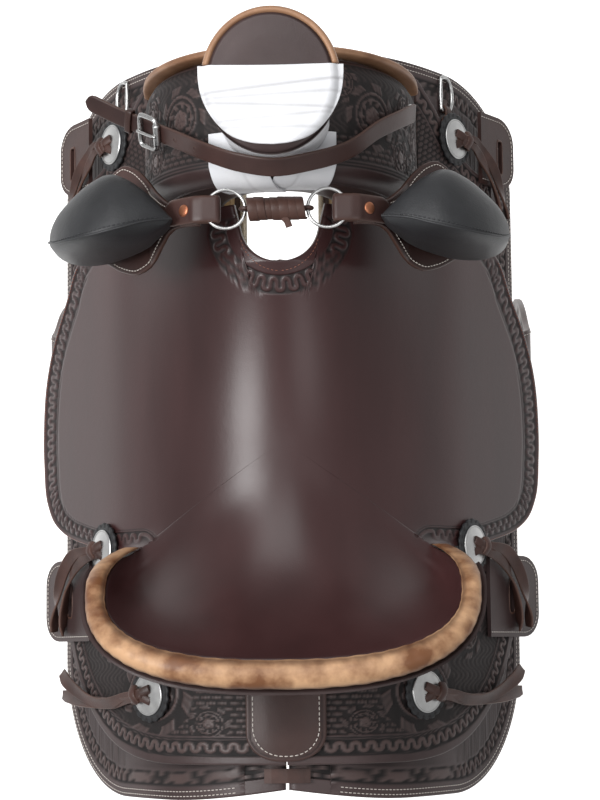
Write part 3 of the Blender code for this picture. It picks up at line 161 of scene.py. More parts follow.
def leather(name, look):
    # base colour drifts between two tones by slow noise, darkens by the cut mark (tooling cuts and seams, and on some
    # pieces painted shade in folds, creases, strap holes and under a bead), lightens on worn rims; fine grain bump
    book = MaterialBook(name, Metallic=0.0, IOR=1.45)
    cut, rim = book.attribute("cut"), book.attribute("rim")
    drift = book.noise(look.get("driftScale", 9.0), 4.0, 0.55, look.get("stretch"))
    speck = book.noise(look.get("speckScale", 140.0), 2.0, 0.6)
    gain, wander = look.get("driftGain", 2.2), look.get("roughDrift", 0.16)
    tone = (drift * gain - gain / 2 + 0.5).clip(0.0, 1.0)
    color = book.mixed(tone, look["deep"], look["light"])
    color = book.mixed((speck * 0.6 - 0.15).clip(0.0, 1.0) * look.get("speckShare", 0.35), color, look["deep"])
    color = book.mixed((rim * look.get("rimShare", 0.5)).clip(0.0, 1.0), color, look.get("rim", look["light"]))
    dark = look.get("dark", (0.008, 0.005, 0.005))
    color = book.mixed((cut * look.get("cutShare", 0.85)).clip(0.0, 1.0), color, dark)
    book.feed("Base Color", color)
    rough = drift * wander + (look["rough"] - wander / 2)
    book.feed("Roughness", (rough + cut * 0.3).clip(0.05, 1.0))
    grain = book.noise(look.get("grainScale", 900.0), 3.0, 0.6) + book.noise(160.0, 2.0, 0.5) * 0.7
    book.bump(grain, look.get("grain", 0.25), 0.0006)
    if look.get("coat"):
        book.shader.inputs["Coat Weight"].default_value = look["coat"]
        book.shader.inputs["Coat Roughness"].default_value = look.get("coatRough", 0.3)
    return book.material


looks = {
    "seat": {
        "deep": (0.026, 0.008, 0.008), "light": (0.06, 0.023, 0.023), "rough": 0.33, "roughDrift": 0.22,
        "driftScale": 7.0, "driftGain": 2.6, "stretch": (1.0, 0.22, 1.0), "grain": 0.16, "coat": 0.18,
        "coatRough": 0.42, "cutShare": 0.9, "rimShare": 0.25, "rim": (0.075, 0.045, 0.04)},
    "tooled": {
        "deep": (0.03, 0.016, 0.0155), "light": (0.074, 0.048, 0.047), "rough": 0.42, "driftScale": 11.0,
        "grain": 0.28, "dark": (0.004, 0.003, 0.003), "cutShare": 0.94, "rim": (0.13, 0.085, 0.075), "rimShare": 0.5},
    "smooth": {
        "deep": (0.028, 0.012, 0.0105), "light": (0.066, 0.031, 0.026), "rough": 0.42, "driftScale": 14.0,
        "grain": 0.22, "rim": (0.13, 0.07, 0.05), "rimShare": 0.4},
    "string": {
        "deep": (0.03, 0.0125, 0.0095), "light": (0.08, 0.036, 0.028), "rough": 0.46, "driftScale": 40.0,
        "grain": 0.25, "rim": (0.15, 0.08, 0.058), "rimShare": 0.5},
    # tan's dark tone paints the cantle roll's seams, and the painted shade on its inner side
    "tan": {
        "deep": (0.175, 0.07, 0.028), "light": (0.6, 0.36, 0.2), "rough": 0.45, "driftScale": 34.0, "driftGain": 3.6,
        "grain": 0.2, "dark": (0.06, 0.024, 0.012), "cutShare": 0.85, "rim": (0.72, 0.5, 0.3), "rimShare": 0.6,
        "speckScale": 60.0, "speckShare": 0.6},
    # brownTan's dark tone paints the gullet lip's edge line, and the painted shade under the horn's rim bead
    "brownTan": {
        "deep": (0.2, 0.092, 0.045), "light": (0.42, 0.235, 0.135), "rough": 0.45, "driftScale": 30.0,
        "grain": 0.2, "dark": (0.05, 0.022, 0.012), "cutShare": 0.8, "rim": (0.6, 0.38, 0.24), "rimShare": 0.6},
    "black": {
        "deep": (0.014, 0.0145, 0.016), "light": (0.03, 0.031, 0.034), "rough": 0.46, "driftScale": 18.0,
        "grain": 0.4, "grainScale": 620.0, "speckShare": 0.1},
    # the hide's dark tone is painted shade, laid along the flap's folds and the wrap's laps and crease
    "hide": {
        "deep": (0.64, 0.65, 0.68), "light": (0.8, 0.8, 0.82), "rough": 0.62, "driftScale": 20.0,
        "grain": 0.3, "dark": (0.3, 0.29, 0.3), "cutShare": 0.75, "speckShare": 0.05, "rim": (0.9, 0.9, 0.9)},
    "rawhide": {
        "deep": (0.36, 0.24, 0.12), "light": (0.62, 0.48, 0.3), "rough": 0.5, "grain": 0.4, "driftScale": 18.0},
    "copper": {
        "deep": (0.3, 0.1, 0.055), "light": (0.58, 0.24, 0.13), "rough": 0.34, "grain": 0.1, "driftScale": 90.0},
}
finishes = {name: leather(f"{name}Finish", look) for name, look in looks.items()}
finishes["copper"].node_tree.nodes["Principled BSDF"].inputs["Metallic"].default_value = 0.85


def steel(name, look):
    # brushed metal: fine streaks in roughness, faint grey drift, dark in engraved cuts
    book = MaterialBook(name, Metallic=1.0)
    cut = book.attribute("cut")
    streak = book.noise(look["streakScale"], 3.0, 0.6)
    color = book.mixed(streak, look["deep"], look["light"])
    book.feed("Base Color", book.mixed((cut * 0.9).clip(0.0, 1.0), color, (0.02, 0.02, 0.02)))
    book.feed("Roughness", (streak * 0.22 + look["rough"] + cut * 0.3).clip(0.05, 1.0))
    book.bump(streak, 0.12, 0.0003)
    return book.material


finishes["silver"] = steel("silverFinish", {
    "deep": (0.5, 0.5, 0.5), "light": (0.74, 0.74, 0.73), "rough": 0.24, "streakScale": 160.0})
finishes["steel"] = steel("steelFinish", {
    "deep": (0.44, 0.44, 0.44), "light": (0.78, 0.78, 0.77), "rough": 0.18, "streakScale": 220.0})


def threadMaterial(name, color):
    # matt twisted thread: light noise in colour and a fine bump
    book = MaterialBook(name, Roughness=0.75)
    twist = book.noise(700.0, 2.0, 0.6)
    book.feed("Base Color", book.mixed(twist, [c * 0.72 for c in color], color))
    book.bump(twist, 0.4, 0.0003)
    return book.material


finishes["thread"] = threadMaterial("threadFinish", (0.78, 0.72, 0.66))
finishes["redThread"] = threadMaterial("redThreadFinish", (0.3, 0.12, 0.08))


def woolMaterial():
    # sheared wool: clumped noise in colour and bump
    book = MaterialBook("woolFinish", Roughness=0.95)
    clump, fibre = book.noise(130.0, 4.0, 0.65), book.noise(900.0, 3.0, 0.7)
    book.feed("Base Color", book.mixed(clump, (0.5, 0.42, 0.3), (0.84, 0.78, 0.66)))
    book.bump(clump + fibre * 0.5, 0.9, 0.003)
    return book.material


finishes["wool"] = woolMaterial()
print("materials ready:", len(finishes))


# The arch over the horse's back that every flat leather follows, as in the frame
arch = {
    "slope": math.radians(57.0), "bend": 0.19, "reach": 0.6, "clearance": 0.0004,
    "fleece": 0.016, "skirt": 0.0047, "rigging": 0.017, "jockey": 0.0042,
}
skirtIn = arch["fleece"] + arch["clearance"]
skirtOut = skirtIn + arch["skirt"]
barIn = skirtOut + arch["clearance"]
jockeyIn = skirtOut + arch["rigging"]
jockeyOut = jockeyIn + arch["jockey"]


def archTable(count=1201):
    # slope grows as a quarter sine up to the bend, and then stays; x and z are its running sums
    u = np.linspace(0.0, arch["reach"], count)
    slope = arch["slope"] * np.sin(math.pi / 2 * np.minimum(u / arch["bend"], 1.0))
    middle = (slope[1:] + slope[:-1]) / 2
    x = np.concatenate([[0.0], np.cumsum(np.cos(middle)) * u[1]])
    z = -np.concatenate([[0.0], np.cumsum(np.sin(middle)) * u[1]])
    return u, x, z, slope


lineU, lineX, lineZ, lineSlope = archTable()


def onArch(u, y, n):
    # (u down the side, y forward, n off the fleece) to x, y, z; a negative u is the near side
    u, y, n = np.broadcast_arrays(np.asarray(u, float), y, n)
    side = np.abs(u)
    slope = np.interp(side, lineU, lineSlope)
    x = np.interp(side, lineU, lineX) + n * np.sin(slope)
    z = np.interp(side, lineU, lineZ) + n * np.cos(slope)
    return joined(np.where(u < 0, -x, x), y, z)


def archNormal(u):
    slope = np.interp(np.abs(u), lineU, lineSlope)
    return joined(np.where(u < 0, -1.0, 1.0) * np.sin(slope), 0.0, np.cos(slope))


def archHeight(x, n):
    return np.interp(np.abs(x), lineX + n * np.sin(lineSlope), lineZ + n * np.cos(lineSlope))


def archU(x, n):
    return np.interp(np.abs(x), lineX + n * np.sin(lineSlope), lineU)


# Mesh makers
def fullTurn(count):
    return np.linspace(0.0, 2 * math.pi, count, endpoint=False)


def runAlong(line):
    # length run along a line of points, from 0
    return np.concatenate([[0.0], np.cumsum(np.linalg.norm(np.diff(line, axis=0), axis=1))])


def sampled(places, run, line):
    # a line's points at some lengths along it
    return np.stack([np.interp(places, run, column) for column in line.T], -1)


def powered(value, power):
    # a power that keeps the sign, for superellipses
    return np.sign(value) * np.abs(value) ** power


def squareTo(normal, vectors):
    # the part of each vector that is square to a unit normal, at unit length
    return unit(vectors - normal * (normal * vectors).sum(1, keepdims=True))


def spread(across, rear, front, share):
    # a grid of places between a rear and a front line
    y = rear[:, None] + (front - rear)[:, None] * share
    return np.broadcast_to(across[:, None], y.shape), y


def thinned(values, gap):
    # rising values without those that lie too close to the one before
    return values[np.concatenate([[True], np.diff(values) > gap])]


def nearest(values, target):
    return int(np.argmin(np.abs(values - target)))


def mirrored(side, *sheets):
    # the near side's grids run the other way
    return [sheet[:, ::-1] if side < 0 else sheet for sheet in sheets]


def faceOut(mesh):
    # the faces of a closed mesh point outward when the volume that they enclose is positive
    centre, normal, area = (np.empty(len(mesh.polygons) * size) for size in (3, 3, 1))
    mesh.polygons.foreach_get("center", centre)
    mesh.polygons.foreach_get("normal", normal)
    mesh.polygons.foreach_get("area", area)
    if (centre * normal).reshape(-1, 3).sum(1) @ area < 0:
        mesh.flip_normals()


def newPiece(name, points, faces, finish, marks=None, body="saddle", node=()):
    # one mesh object from an array of points and lists of faces; marks are per-point numbers for the material
    mesh = bpy.data.meshes.new(name)
    mesh.from_pydata(np.asarray(points).reshape(-1, 3).tolist(), [], faces)
    mesh.update()
    for label, values in (marks or {}).items():
        layer = mesh.attributes.new(label, "FLOAT", "POINT")
        layer.data.foreach_set("value", np.asarray(values, dtype=np.float32).ravel())
    mesh.shade_smooth()
    faceOut(mesh)
    item = bpy.data.objects.new(name, mesh)
    mesh.materials.append(finishes[finish])
    bpy.context.scene.collection.objects.link(item)
    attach(item, body)
    if node:
        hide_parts(*([node] if isinstance(node, str) else node))
    return item


def quadFaces(rows, columns, start=0, wrap=False, flip=False, loop=False):
    # faces of a grid whose point (i, j) is number start + i * columns + j; wrap joins columns and loop joins rows
    i = np.arange(rows if loop else rows - 1)[:, None] * columns
    j = np.arange(columns if wrap else columns - 1)[None]
    below, beside = (i + columns) % (rows * columns), (j + 1) % columns
    quads = joined(i + j, below + j, below + beside, i + beside).reshape(-1, 4) + start
    return quads[:, ::-1] if flip else quads


def tube(name, rings, finish, marks=None, tips=None, **extra):
    # closed rings joined in order, each end closed by a fan round its middle point
    rows, columns = rings.shape[:2]
    j = np.arange(columns)
    k, last, total = (j + 1) % columns, (rows - 1) * columns, np.full(columns, rows * columns)
    fans = np.concatenate([joined(total, j, k), joined(total + 1, last + k, last + j)])
    full = {}
    for label, values in (marks or {}).items():
        values = np.broadcast_to(values, (rows, columns))
        full[label] = np.append(values.ravel(), (values[0, 0], values[-1, 0]) if tips is None else (tips, tips))
    ends = np.stack([rings[0].mean(0), rings[-1].mean(0)])
    return newPiece(name, np.concatenate([rings.reshape(-1, 3), ends]),
                    quadFaces(rows, columns, wrap=True).tolist() + fans.tolist(), finish, full, **extra)


def shell(name, top, bottom, finish, marks=None, skip=4, **extra):
    # a closed plate: a fine top grid, a bottom grid that keeps every skip-th point, and walls that join them
    rows, columns = top.shape[:2]
    keepRow = np.unique(np.append(np.arange(0, rows, skip), rows - 1))
    keepColumn = np.unique(np.append(np.arange(0, columns, skip), columns - 1))
    low = bottom[np.ix_(keepRow, keepColumn)]
    start = rows * columns
    faces = quadFaces(rows, columns).tolist() + quadFaces(len(keepRow), len(keepColumn), start, flip=True).tolist()
    lowNumber = np.arange(low.shape[0] * low.shape[1]).reshape(low.shape[:2]) + start
    topNumber = np.arange(start).reshape(rows, columns)
    walls = ((topNumber[0], lowNumber[0], keepColumn, True), (topNumber[-1], lowNumber[-1], keepColumn, False),
             (topNumber[:, 0], lowNumber[:, 0], keepRow, False), (topNumber[:, -1], lowNumber[:, -1], keepRow, True))
    for upper, lower, keep, forward in walls:
        for k in range(len(keep) - 1):
            loop = upper[keep[k]:keep[k + 1] + 1].tolist() + [int(lower[k + 1]), int(lower[k])]
            faces.append(loop if forward else loop[::-1])
    points = np.concatenate([top.reshape(-1, 3), low.reshape(-1, 3)])
    full = {}
    for label, values in (marks or {}).items():
        values = np.broadcast_to(values, (rows, columns))
        full[label] = np.concatenate([values.ravel(), values[np.ix_(keepRow, keepColumn)].ravel()])
    return newPiece(name, points, faces, finish, full, **extra)


def edgeSpaced(length, step, fine=(0.0, 0.0004, 0.001, 0.0018)):
    # places from 0 to length, close together near both ends
    count = max(int(round((length - 2 * fine[-1]) / step)), 2)
    middle = np.linspace(fine[-1], length - fine[-1], count + 1)
    ends = np.array(fine[:-1])
    return np.concatenate([ends, middle, length - ends[::-1]])


def edgeField(a, b, line, closed=False):
    # distance of each place (a, b) to a polyline in the same plane, and how far along it the nearest point lies
    line = np.asarray(line, float)
    if closed:
        line = np.concatenate([line, line[:1]])
    start, step = line[:-1], np.diff(line, axis=0)
    size = np.maximum((step ** 2).sum(1), 1e-14)
    run = np.concatenate([[0.0], np.cumsum(np.sqrt(size))])
    places = joined(np.ravel(a), np.ravel(b))
    away, along = np.empty(len(places)), np.empty(len(places))
    for k in range(0, len(places), 4000):
        part = places[k:k + 4000, None] - start[None]
        share = np.clip((part * step[None]).sum(-1) / size, 0.0, 1.0)
        gap = np.linalg.norm(part - step[None] * share[..., None], axis=-1)
        best = gap.argmin(1)
        rows = np.arange(len(best))
        away[k:k + 4000] = gap[rows, best]
        along[k:k + 4000] = run[best] + share[rows, best] * np.sqrt(size[best])
    return away.reshape(np.shape(a)), along.reshape(np.shape(a))


def soft(low, high, value):
    # smooth step from 0 at low to 1 at high
    t = np.clip((value - low) / (high - low), 0.0, 1.0)
    return t * t * (3.0 - 2.0 * t)


def frameAlong(path, lean):
    # unit direction of a path at each point, the width direction nearest to lean, and the face direction
    path = np.asarray(path, float)
    ahead = unit(np.gradient(path, axis=0))
    wide = squareTo(ahead, np.broadcast_to(np.asarray(lean, float), path.shape))
    return ahead, wide, np.cross(ahead, wide)


def smoothPath(points, count):
    # a curve through the points: cubic pieces whose slope at a point is that between its neighbours
    points = np.asarray(points, float)
    run = runAlong(points)
    slope = np.gradient(points, run, axis=0)
    place = np.linspace(0.0, run[-1], count)
    k = np.clip(np.searchsorted(run, place, side="right") - 1, 0, len(run) - 2)
    gap = (run[k + 1] - run[k])[:, None]
    t = (place - run[k])[:, None] / gap
    return ((2 * t ** 3 - 3 * t ** 2 + 1) * points[k] + (t ** 3 - 2 * t ** 2 + t) * gap * slope[k]
            + (3 * t ** 2 - 2 * t ** 3) * points[k + 1] + (t ** 3 - t ** 2) * gap * slope[k + 1])


def carried(name, path, section, wide, face, finish, closed=False, size=None, marks=None, **extra):
    # a closed profile carried along a path: section is (across, out) pairs laid on the wide and face directions
    path, section = np.asarray(path, float), np.asarray(section, float)
    size = np.ones(len(path)) if size is None else np.asarray(size)
    wide, face = (np.broadcast_to(way, path.shape)[:, None] for way in (wide, face))
    size = size[:, None, None]
    rings = path[:, None] + wide * (section[None, :, :1] * size) + face * (section[None, :, 1:] * size)
    if not closed:
        return tube(name, rings, finish, marks, **extra)
    rows, columns = rings.shape[:2]
    full = {label: np.broadcast_to(values, (rows, columns)) for label, values in (marks or {}).items()}
    return newPiece(name, rings, quadFaces(rows, columns, wrap=True, loop=True).tolist(), finish, full, **extra)


def roundSection(radius, count=12, flat=1.0):
    turn = fullTurn(count)
    return joined(radius * np.cos(turn), radius * flat * np.sin(turn))


def strapSection(width, thick, count=6):
    # a flat strap's section with rounded edges
    turn = np.linspace(-math.pi / 2, math.pi / 2, count)
    reach = width / 2 - thick * 0.35
    right = joined(reach + thick * 0.35 * np.cos(turn), thick / 2 * np.sin(turn))
    left = joined(-reach - thick * 0.35 * np.cos(turn), -thick / 2 * np.sin(turn))
    return np.concatenate([right, [(0.0, thick / 2)], left, [(0.0, -thick / 2)]])


def stitchRow(name, line, out, pitch=0.0042, length=0.0029, radius=0.00042, finish="thread", body="saddle"):
    # small capsules laid end to end along a line on a surface, each a stretched ring profile
    line, out = np.asarray(line, float), np.asarray(out, float)
    run = runAlong(line)
    count = max(int(run[-1] / pitch), 1)
    place = (np.arange(count) + 0.5) * run[-1] / count
    at, near = sampled(place, run, line), 0.0005
    ahead = unit(sampled(place + near, run, line) - sampled(place - near, run, line))
    up = squareTo(ahead, sampled(place, run, out))
    wide = np.cross(ahead, up)
    levels = np.array([(-0.5, 0.35), (-0.36, 0.9), (0.0, 1.0), (0.36, 0.9), (0.5, 0.35)])
    turn = fullTurn(6)
    lift = radius * 0.25
    rings = (at[:, None, None] + ahead[:, None, None] * (levels[None, :, None, :1] * length)
             + wide[:, None, None] * (levels[None, :, None, 1:] * radius * np.cos(turn)[None, None, :, None])
             + up[:, None, None] * (lift + levels[None, :, None, 1:] * radius * np.sin(turn)[None, None, :, None]))
    per = len(levels) * len(turn)
    one = quadFaces(len(levels), len(turn), wrap=True)
    caps = [list(range(len(turn))), list(range(per - 1, per - len(turn) - 1, -1))]
    quads = one[None] + np.arange(count)[:, None, None] * per
    ends = np.array(caps)[None] + np.arange(count)[:, None, None] * per
    faces = quads.reshape(-1, 4).tolist() + ends.reshape(-1, len(turn)).tolist()
    return newPiece(name, rings.reshape(-1, 3), faces, finish, body=body)


# Tooling patterns: each returns how far a place stands up (0 to 1) for pattern coordinates in metres
def meander(along, across, wide, period=0.0118, ribbon=0.0021):
    # a raised ribbon of bars joined by half rings at alternate ends; 1 on the ribbon, 0 on the ground beside it
    bar = wide / 2 - period / 4 - ribbon
    local = (along + period / 2) % period - period / 2
    swapped = along % period - period / 2
    upper = np.hypot(local, np.maximum(across - bar, 0.0)) - period / 4
    lower = np.hypot(swapped, np.maximum(-bar - across, 0.0)) - period / 4
    middle = np.minimum(np.abs(local - period / 4), np.abs(local + period / 4))
    away = np.abs(np.where(across > bar, upper, np.where(across < -bar, lower, middle)))
    return 1.0 - soft(ribbon * 0.62, ribbon * 1.15, away)


def weave(a, b):
    # basket stamp: rows of bowed bars, every other row shifted by half, with ribs across each bar
    width, height = 0.0088, 0.0052
    row = np.floor(b / height)
    p = (a / width + 0.5 * (row % 2)) % 1.0 - 0.5
    q = (b / height) % 1.0 - 0.5
    bar = (1.0 - soft(0.3, 0.46, np.abs(p))) * (1.0 - soft(0.25, 0.47, np.abs(q) + 0.25 * np.abs(p)))
    ribs = 0.75 + 0.25 * np.cos(p * 2 * math.pi * 3)
    return bar * ribs


def scroll(a, b, centre, radius, hand, turn0, petals):
    # a flower in a winding stem with leaf lobes round it; returns standing height and the share that it covers
    dx, dy = (a - centre[0]) * hand, b - centre[1]
    away, angle = np.hypot(dx, dy) / radius, np.arctan2(dy, dx) + turn0
    stand = np.zeros_like(away)
    bloom = 0.36 + 0.07 * np.abs(np.cos(angle * petals / 2))
    flower = 1.0 - soft(0.92, 1.02, away / bloom)
    vein = soft(0.0, 0.35, np.abs(np.sin(angle * petals / 2 + 1.2 * away)))
    flower = flower * (0.45 + 0.55 * vein) * (0.65 + 0.35 * soft(0.05, 0.16, away))
    flower = np.maximum(flower, 1.0 - soft(0.07, 0.1, away))
    stand = np.maximum(stand, flower)
    turns = (angle % (2 * math.pi)) / (2 * math.pi)
    for lap in range(2):
        at = 1.02 - 0.24 * (turns + lap)
        thick = 0.055 - 0.012 * (turns + lap)
        strip = 1.0 - soft(thick * 0.75, thick * 1.25, np.abs(away - at))
        strip *= 0.75 + 0.25 * soft(0.0, thick * 0.5, np.abs(away - at - thick * 0.25))
        stand = np.maximum(stand, strip * (away > 0.44))
    lobes = np.cos(angle * 7.0 - 5.0 * np.log(np.maximum(away, 0.05)))
    leafBand = soft(1.06, 1.1, away) * (1.0 - soft(1.34, 1.42, away))
    leaf = leafBand * soft(-0.15, 0.15, lobes) * (0.55 + 0.45 * soft(0.0, 0.5, np.abs(lobes - 0.75)))
    stand = np.maximum(stand, leaf)
    inner = soft(0.46, 0.5, away) * (1.0 - soft(0.72, 0.78, away))
    curl = np.cos(angle * 9.0 + 6.0 * away)
    stand = np.maximum(stand, inner * soft(0.1, 0.4, curl) * 0.85)
    return stand, 1.0 - soft(1.36, 1.44, away)


def pebble(a, b, scale=0.0016):
    # matted ground: a fine crossed dot stamp
    a, b, bent = a * 2 * math.pi / scale, b * 2 * math.pi / scale, 1.3 * np.sin(a * 900.0)
    return 0.5 + 0.25 * np.cos(a) + 0.25 * np.cos(b + bent)


def groove(away, at, half=0.0007):
    # a narrow cut at a given distance from the edge
    return 1.0 - soft(half * 0.4, half * 1.5, np.abs(away - at))


def rounded(away, radius=0.0018):
    # how far a burnished edge falls off, as a share of the radius
    part = np.clip(1.0 - away / radius, 0.0, 1.0)
    return 1.0 - np.sqrt(1.0 - part ** 2 * 0.98)


def setback(u, edge, across, along):
    # how far a rounded corner draws an end in: an elliptical quarter that starts across before the edge
    part = np.clip((u - (edge - across)) / across, 0.0, 1.0)
    return along * (1.0 - np.sqrt(1.0 - part ** 2))


def cornered(start, end, step, corner, count=40):
    # places across a leather, closer together in its rounded corner
    turn = end - corner * (1.0 - np.sin(np.linspace(0.0, math.pi / 2, count)))
    straight = start + edgeSpaced(end - start, step)
    return thinned(np.unique(np.concatenate([straight, turn])), 0.00022)


def alongShares(length, step, fine=0.0005):
    # shares from 0 to 1 along a column, with a few close to both ends for the rounded edge
    places = edgeSpaced(length, step, (0.0, fine, 2.2 * fine, 4.0 * fine))
    return places / length


def plate(name, side, across, rear, front, low, high, finish, pattern, step=0.0014, **extra):
    # a leather on the arch between a rear and a front line; pattern(u, y, away, along) gives height, cut and rim
    longest = float((front - rear).max())
    share = alongShares(longest, step)[None, :]
    u, y = spread(across, rear, front, share)
    outer = joined(across[-1], np.linspace(rear[-1], front[-1], 60))
    line = np.concatenate([joined(across, rear), outer, joined(across, front)[::-1]])
    away, along = edgeField(u, y, line)
    height, cut, rim = pattern(u, y, away, along)
    burnish = rounded(away, 0.0016)
    n = high + height - burnish * 0.0016
    top, bottom = onArch(u * side, y, n), onArch(u * side, y, low)
    top, bottom, cut, rim = mirrored(side, top, bottom, cut, np.clip(rim + burnish * 0.5, 0.0, 1.0))
    return shell(name, top, bottom, finish, {"cut": cut, "rim": rim}, **extra)


def lineInside(side, across, rear, front, inset, high, step=0.0015):
    # a line on a leather's face that keeps a distance inside its rear, outer and front edges
    outer = joined(across[-1], np.linspace(rear[-1], front[-1], 90))
    line = np.concatenate([joined(across, rear), outer[1:-1], joined(across, front)[::-1]])
    run = runAlong(line)
    place = np.linspace(0.0, run[-1], int(run[-1] / step))
    line = sampled(place, run, line)
    ahead = np.gradient(line, axis=0)
    ahead /= np.maximum(np.linalg.norm(ahead, axis=1, keepdims=True), 1e-9)
    inside = line + joined(-ahead[:, 1], ahead[:, 0]) * inset
    gap, _ = edgeField(inside[:, 0], inside[:, 1], line)
    inside = inside[gap > inset * 0.97]
    return onArch(inside[:, 0] * side, inside[:, 1], high), archNormal(inside[:, 0] * side)


# Carving: sunk ground, raised borders and scrolls
carve = {"depth": 0.0011, "rimWide": 0.0095, "borderWide": 0.012, "bevel": 0.0042}


def borderBand(away, along, start, wide):
    # a meander between two beads: height, cut and rim; zero outside the band
    middle = start + wide / 2
    stop, blur = start + wide, 0.0004
    inside = soft(start - blur, start + blur, away) * (1.0 - soft(stop - blur, stop + blur, away))
    stand = meander(along, away - middle, wide - 0.0008)
    ground = inside * (1.0 - stand)
    lines = np.maximum(groove(away, start), groove(away, start + wide))
    sunk = np.maximum(ground, lines)
    return -carve["depth"] * sunk, np.clip(sunk, 0.0, 1.0), inside * stand * 0.6


def merged(*parts):
    # the deepest of several cuts, and the sum of their rims
    height = np.minimum.reduce([part[0] for part in parts])
    cut = np.maximum.reduce([part[1] for part in parts])
    rim = np.maximum.reduce([part[2] for part in parts])
    return height, cut, rim


def carvedField(a, b, inside, blooms, weaveWhere):
    # scrolls laid on matted ground, basket stamp where asked; inside is the share of the field that is carved
    stand, covered = np.zeros_like(a), np.zeros_like(a)
    for centre, radius, hand, turn, petals in blooms:
        bloom, cover = scroll(a, b, centre, radius, hand, turn, petals)
        stand, covered = np.maximum(stand, bloom), np.maximum(covered, cover)
    woven = weave(a, b) * weaveWhere * (1.0 - covered)
    ground = pebble(a, b) * 0.12
    plain = (1.0 - covered) * (1.0 - weaveWhere)
    stand = np.maximum(np.maximum(stand, woven), ground)
    stand = np.maximum(stand, plain * 0.3 * soft(0.2, 0.8, np.sin(a * 420.0 + 3.0 * np.sin(b * 260.0)) ** 2))
    sunk = inside * (1.0 - stand)
    return -carve["depth"] * sunk, sunk, inside * stand * 0.55


# Skirts and their fleece
skirt = {
    "join": 0.0012, "edge": 0.307, "rear": -0.372, "swell": 0.011, "front": 0.312, "joinFront": -0.3,
    "channel": 0.034, "cornerAcross": 0.13, "rearCorner": 0.136, "frontCorner": 0.105, "fleeceInset": 0.006,
}


def skirtEnds(across, inset=0.0):
    edge = skirt["edge"] - inset
    swell = skirt["swell"] * np.sin(np.clip(across / 0.11, 0.0, 1.0) * math.pi / 2)
    rear = skirt["rear"] - swell + inset + setback(across, edge, skirt["cornerAcross"], skirt["rearCorner"])
    front = skirt["front"] - inset - setback(across, edge, skirt["cornerAcross"], skirt["frontCorner"])
    return rear, np.where(across < skirt["channel"], skirt["joinFront"], front)


def skirtPattern(u, y, away, along):
    band = borderBand(away, along, 0.0135, 0.0125)
    inner = away > 0.0275
    mat = pebble(u, y, 0.0022) * soft(0.0275, 0.029, away) * (1.0 - soft(0.06, 0.075, away))
    matted = (-0.0004 * mat * inner, 0.5 * mat * inner, np.zeros_like(u))
    return merged(band, matted)


for side, word in sides:
    across = np.unique(np.concatenate([
        np.linspace(skirt["join"], 0.19, 30), (skirt["channel"] - 0.001, skirt["channel"]),
        cornered(0.19, skirt["edge"], 0.0015, skirt["cornerAcross"], 60)]))
    across = thinned(across, 0.0002)
    rear, front = skirtEnds(across)
    plate(f"skirt{word}", side, across, rear, front, skirtIn, skirtOut, "tooled", skirtPattern, step=0.0023,
          node=f"skirt_{word.lower()}")
    for inset in (0.0034, 0.0078):
        outerPart = across > skirt["channel"]
        line, out = lineInside(side, across[outerPart], rear[outerPart], front[outerPart], inset, skirtOut)
        stitchRow(f"skirtStitch{word}{int(inset * 10000)}", line, out)
    tone = np.random.default_rng(5 + side)
    edge = skirt["edge"] - skirt["fleeceInset"]
    across = np.unique(np.concatenate([np.linspace(skirt["join"], edge, 62),
                                       (skirt["channel"] - 0.001, skirt["channel"]),
                                       edge - skirt["cornerAcross"] * (1 - np.sin(np.linspace(0, math.pi / 2, 24)))]))
    rear, front = skirtEnds(across, skirt["fleeceInset"])
    share = np.linspace(0.0, 1.0, 150)[None, :]
    u, y = spread(across * side, rear, front, share)
    tuft = tone.random(y.shape) * 0.0032
    face, backing = mirrored(side, onArch(u, y, tuft), onArch(u, y, arch["fleece"]))
    shell(f"fleece{word}", face, backing, "wool", skip=2, node=f"fleece_{word.lower()}")
print("skirts and fleece ready")


# Rear jockeys with their plug
rearJockey = {
    "edge": 0.262, "rear": -0.349, "corner": (0.18, 0.16), "frontCorner": (0.03, 0.022), "sideFront": -0.166,
    "concho": (0.125, -0.286), "join": 0.0006,
}
seat = {
    "dishY": -0.06, "thick": 0.0045, "lift": 0.02, "rise": 0.036, "halfCrown": 0.15, "holeHalf": 0.037,
    "holeY": 0.135, "front": 0.152, "power": 3.0, "tipPower": 12.0, "climb": 0.158,
    "edge": ((0.178, -0.149), (0.203, -0.141), (0.222, -0.132), (0.237, -0.118), (0.245, -0.1), (0.25, -0.058),
             (0.2505, -0.018), (0.2475, 0.021), (0.238, 0.062), (0.2225, 0.101), (0.208, 0.136)),
}
roll = {
    "centreY": -0.19, "outer": (0.1745, 0.09), "inner": (0.157, 0.065), "forward": 0.06, "fullness": 2.5,
    "sweep": math.radians(125.0), "top": 0.165, "tip": 0.004, "half": 0.011, "droop": 2.2,
}
cantle = {
    "sweep": math.radians(105.0), "boardSweep": math.radians(88.0), "shares": (0.81, 0.89, 0.95, 1.0), "thick": 0.017,
    "thinning": 0.45, "gap": 0.0007, "backThick": 0.0035, "foot": 0.001, "lipReach": 0.005, "lipDrop": 0.55, "lap": 0.3,
}


def rollPoint(angle, axes):
    # the cantle's curve in plan: a superellipse, its front quarter shorter
    sin, cos = np.sin(angle), np.cos(angle)
    power = 2 / roll["fullness"]
    x = axes[0] * powered(sin, power)
    y = roll["centreY"] + np.where(cos > 0, -axes[1], roll["forward"]) * np.abs(cos) ** power
    return x, y


def rollHeight(angle):
    return roll["top"] + (roll["tip"] - roll["top"]) * (np.abs(angle) / roll["sweep"]) ** roll["droop"]


def seatBase(x, y):
    # the arch with a crown over the bars that climbs to the hand hole
    climb = np.clip((y - seat["dishY"]) / seat["climb"], 0.0, 1.0) ** 2
    crown = np.clip(1.0 - (x / seat["halfCrown"]) ** 2, 0.0, 1.0) ** 2
    return archHeight(x, jockeyOut) + (seat["lift"] + seat["rise"] * climb) * crown


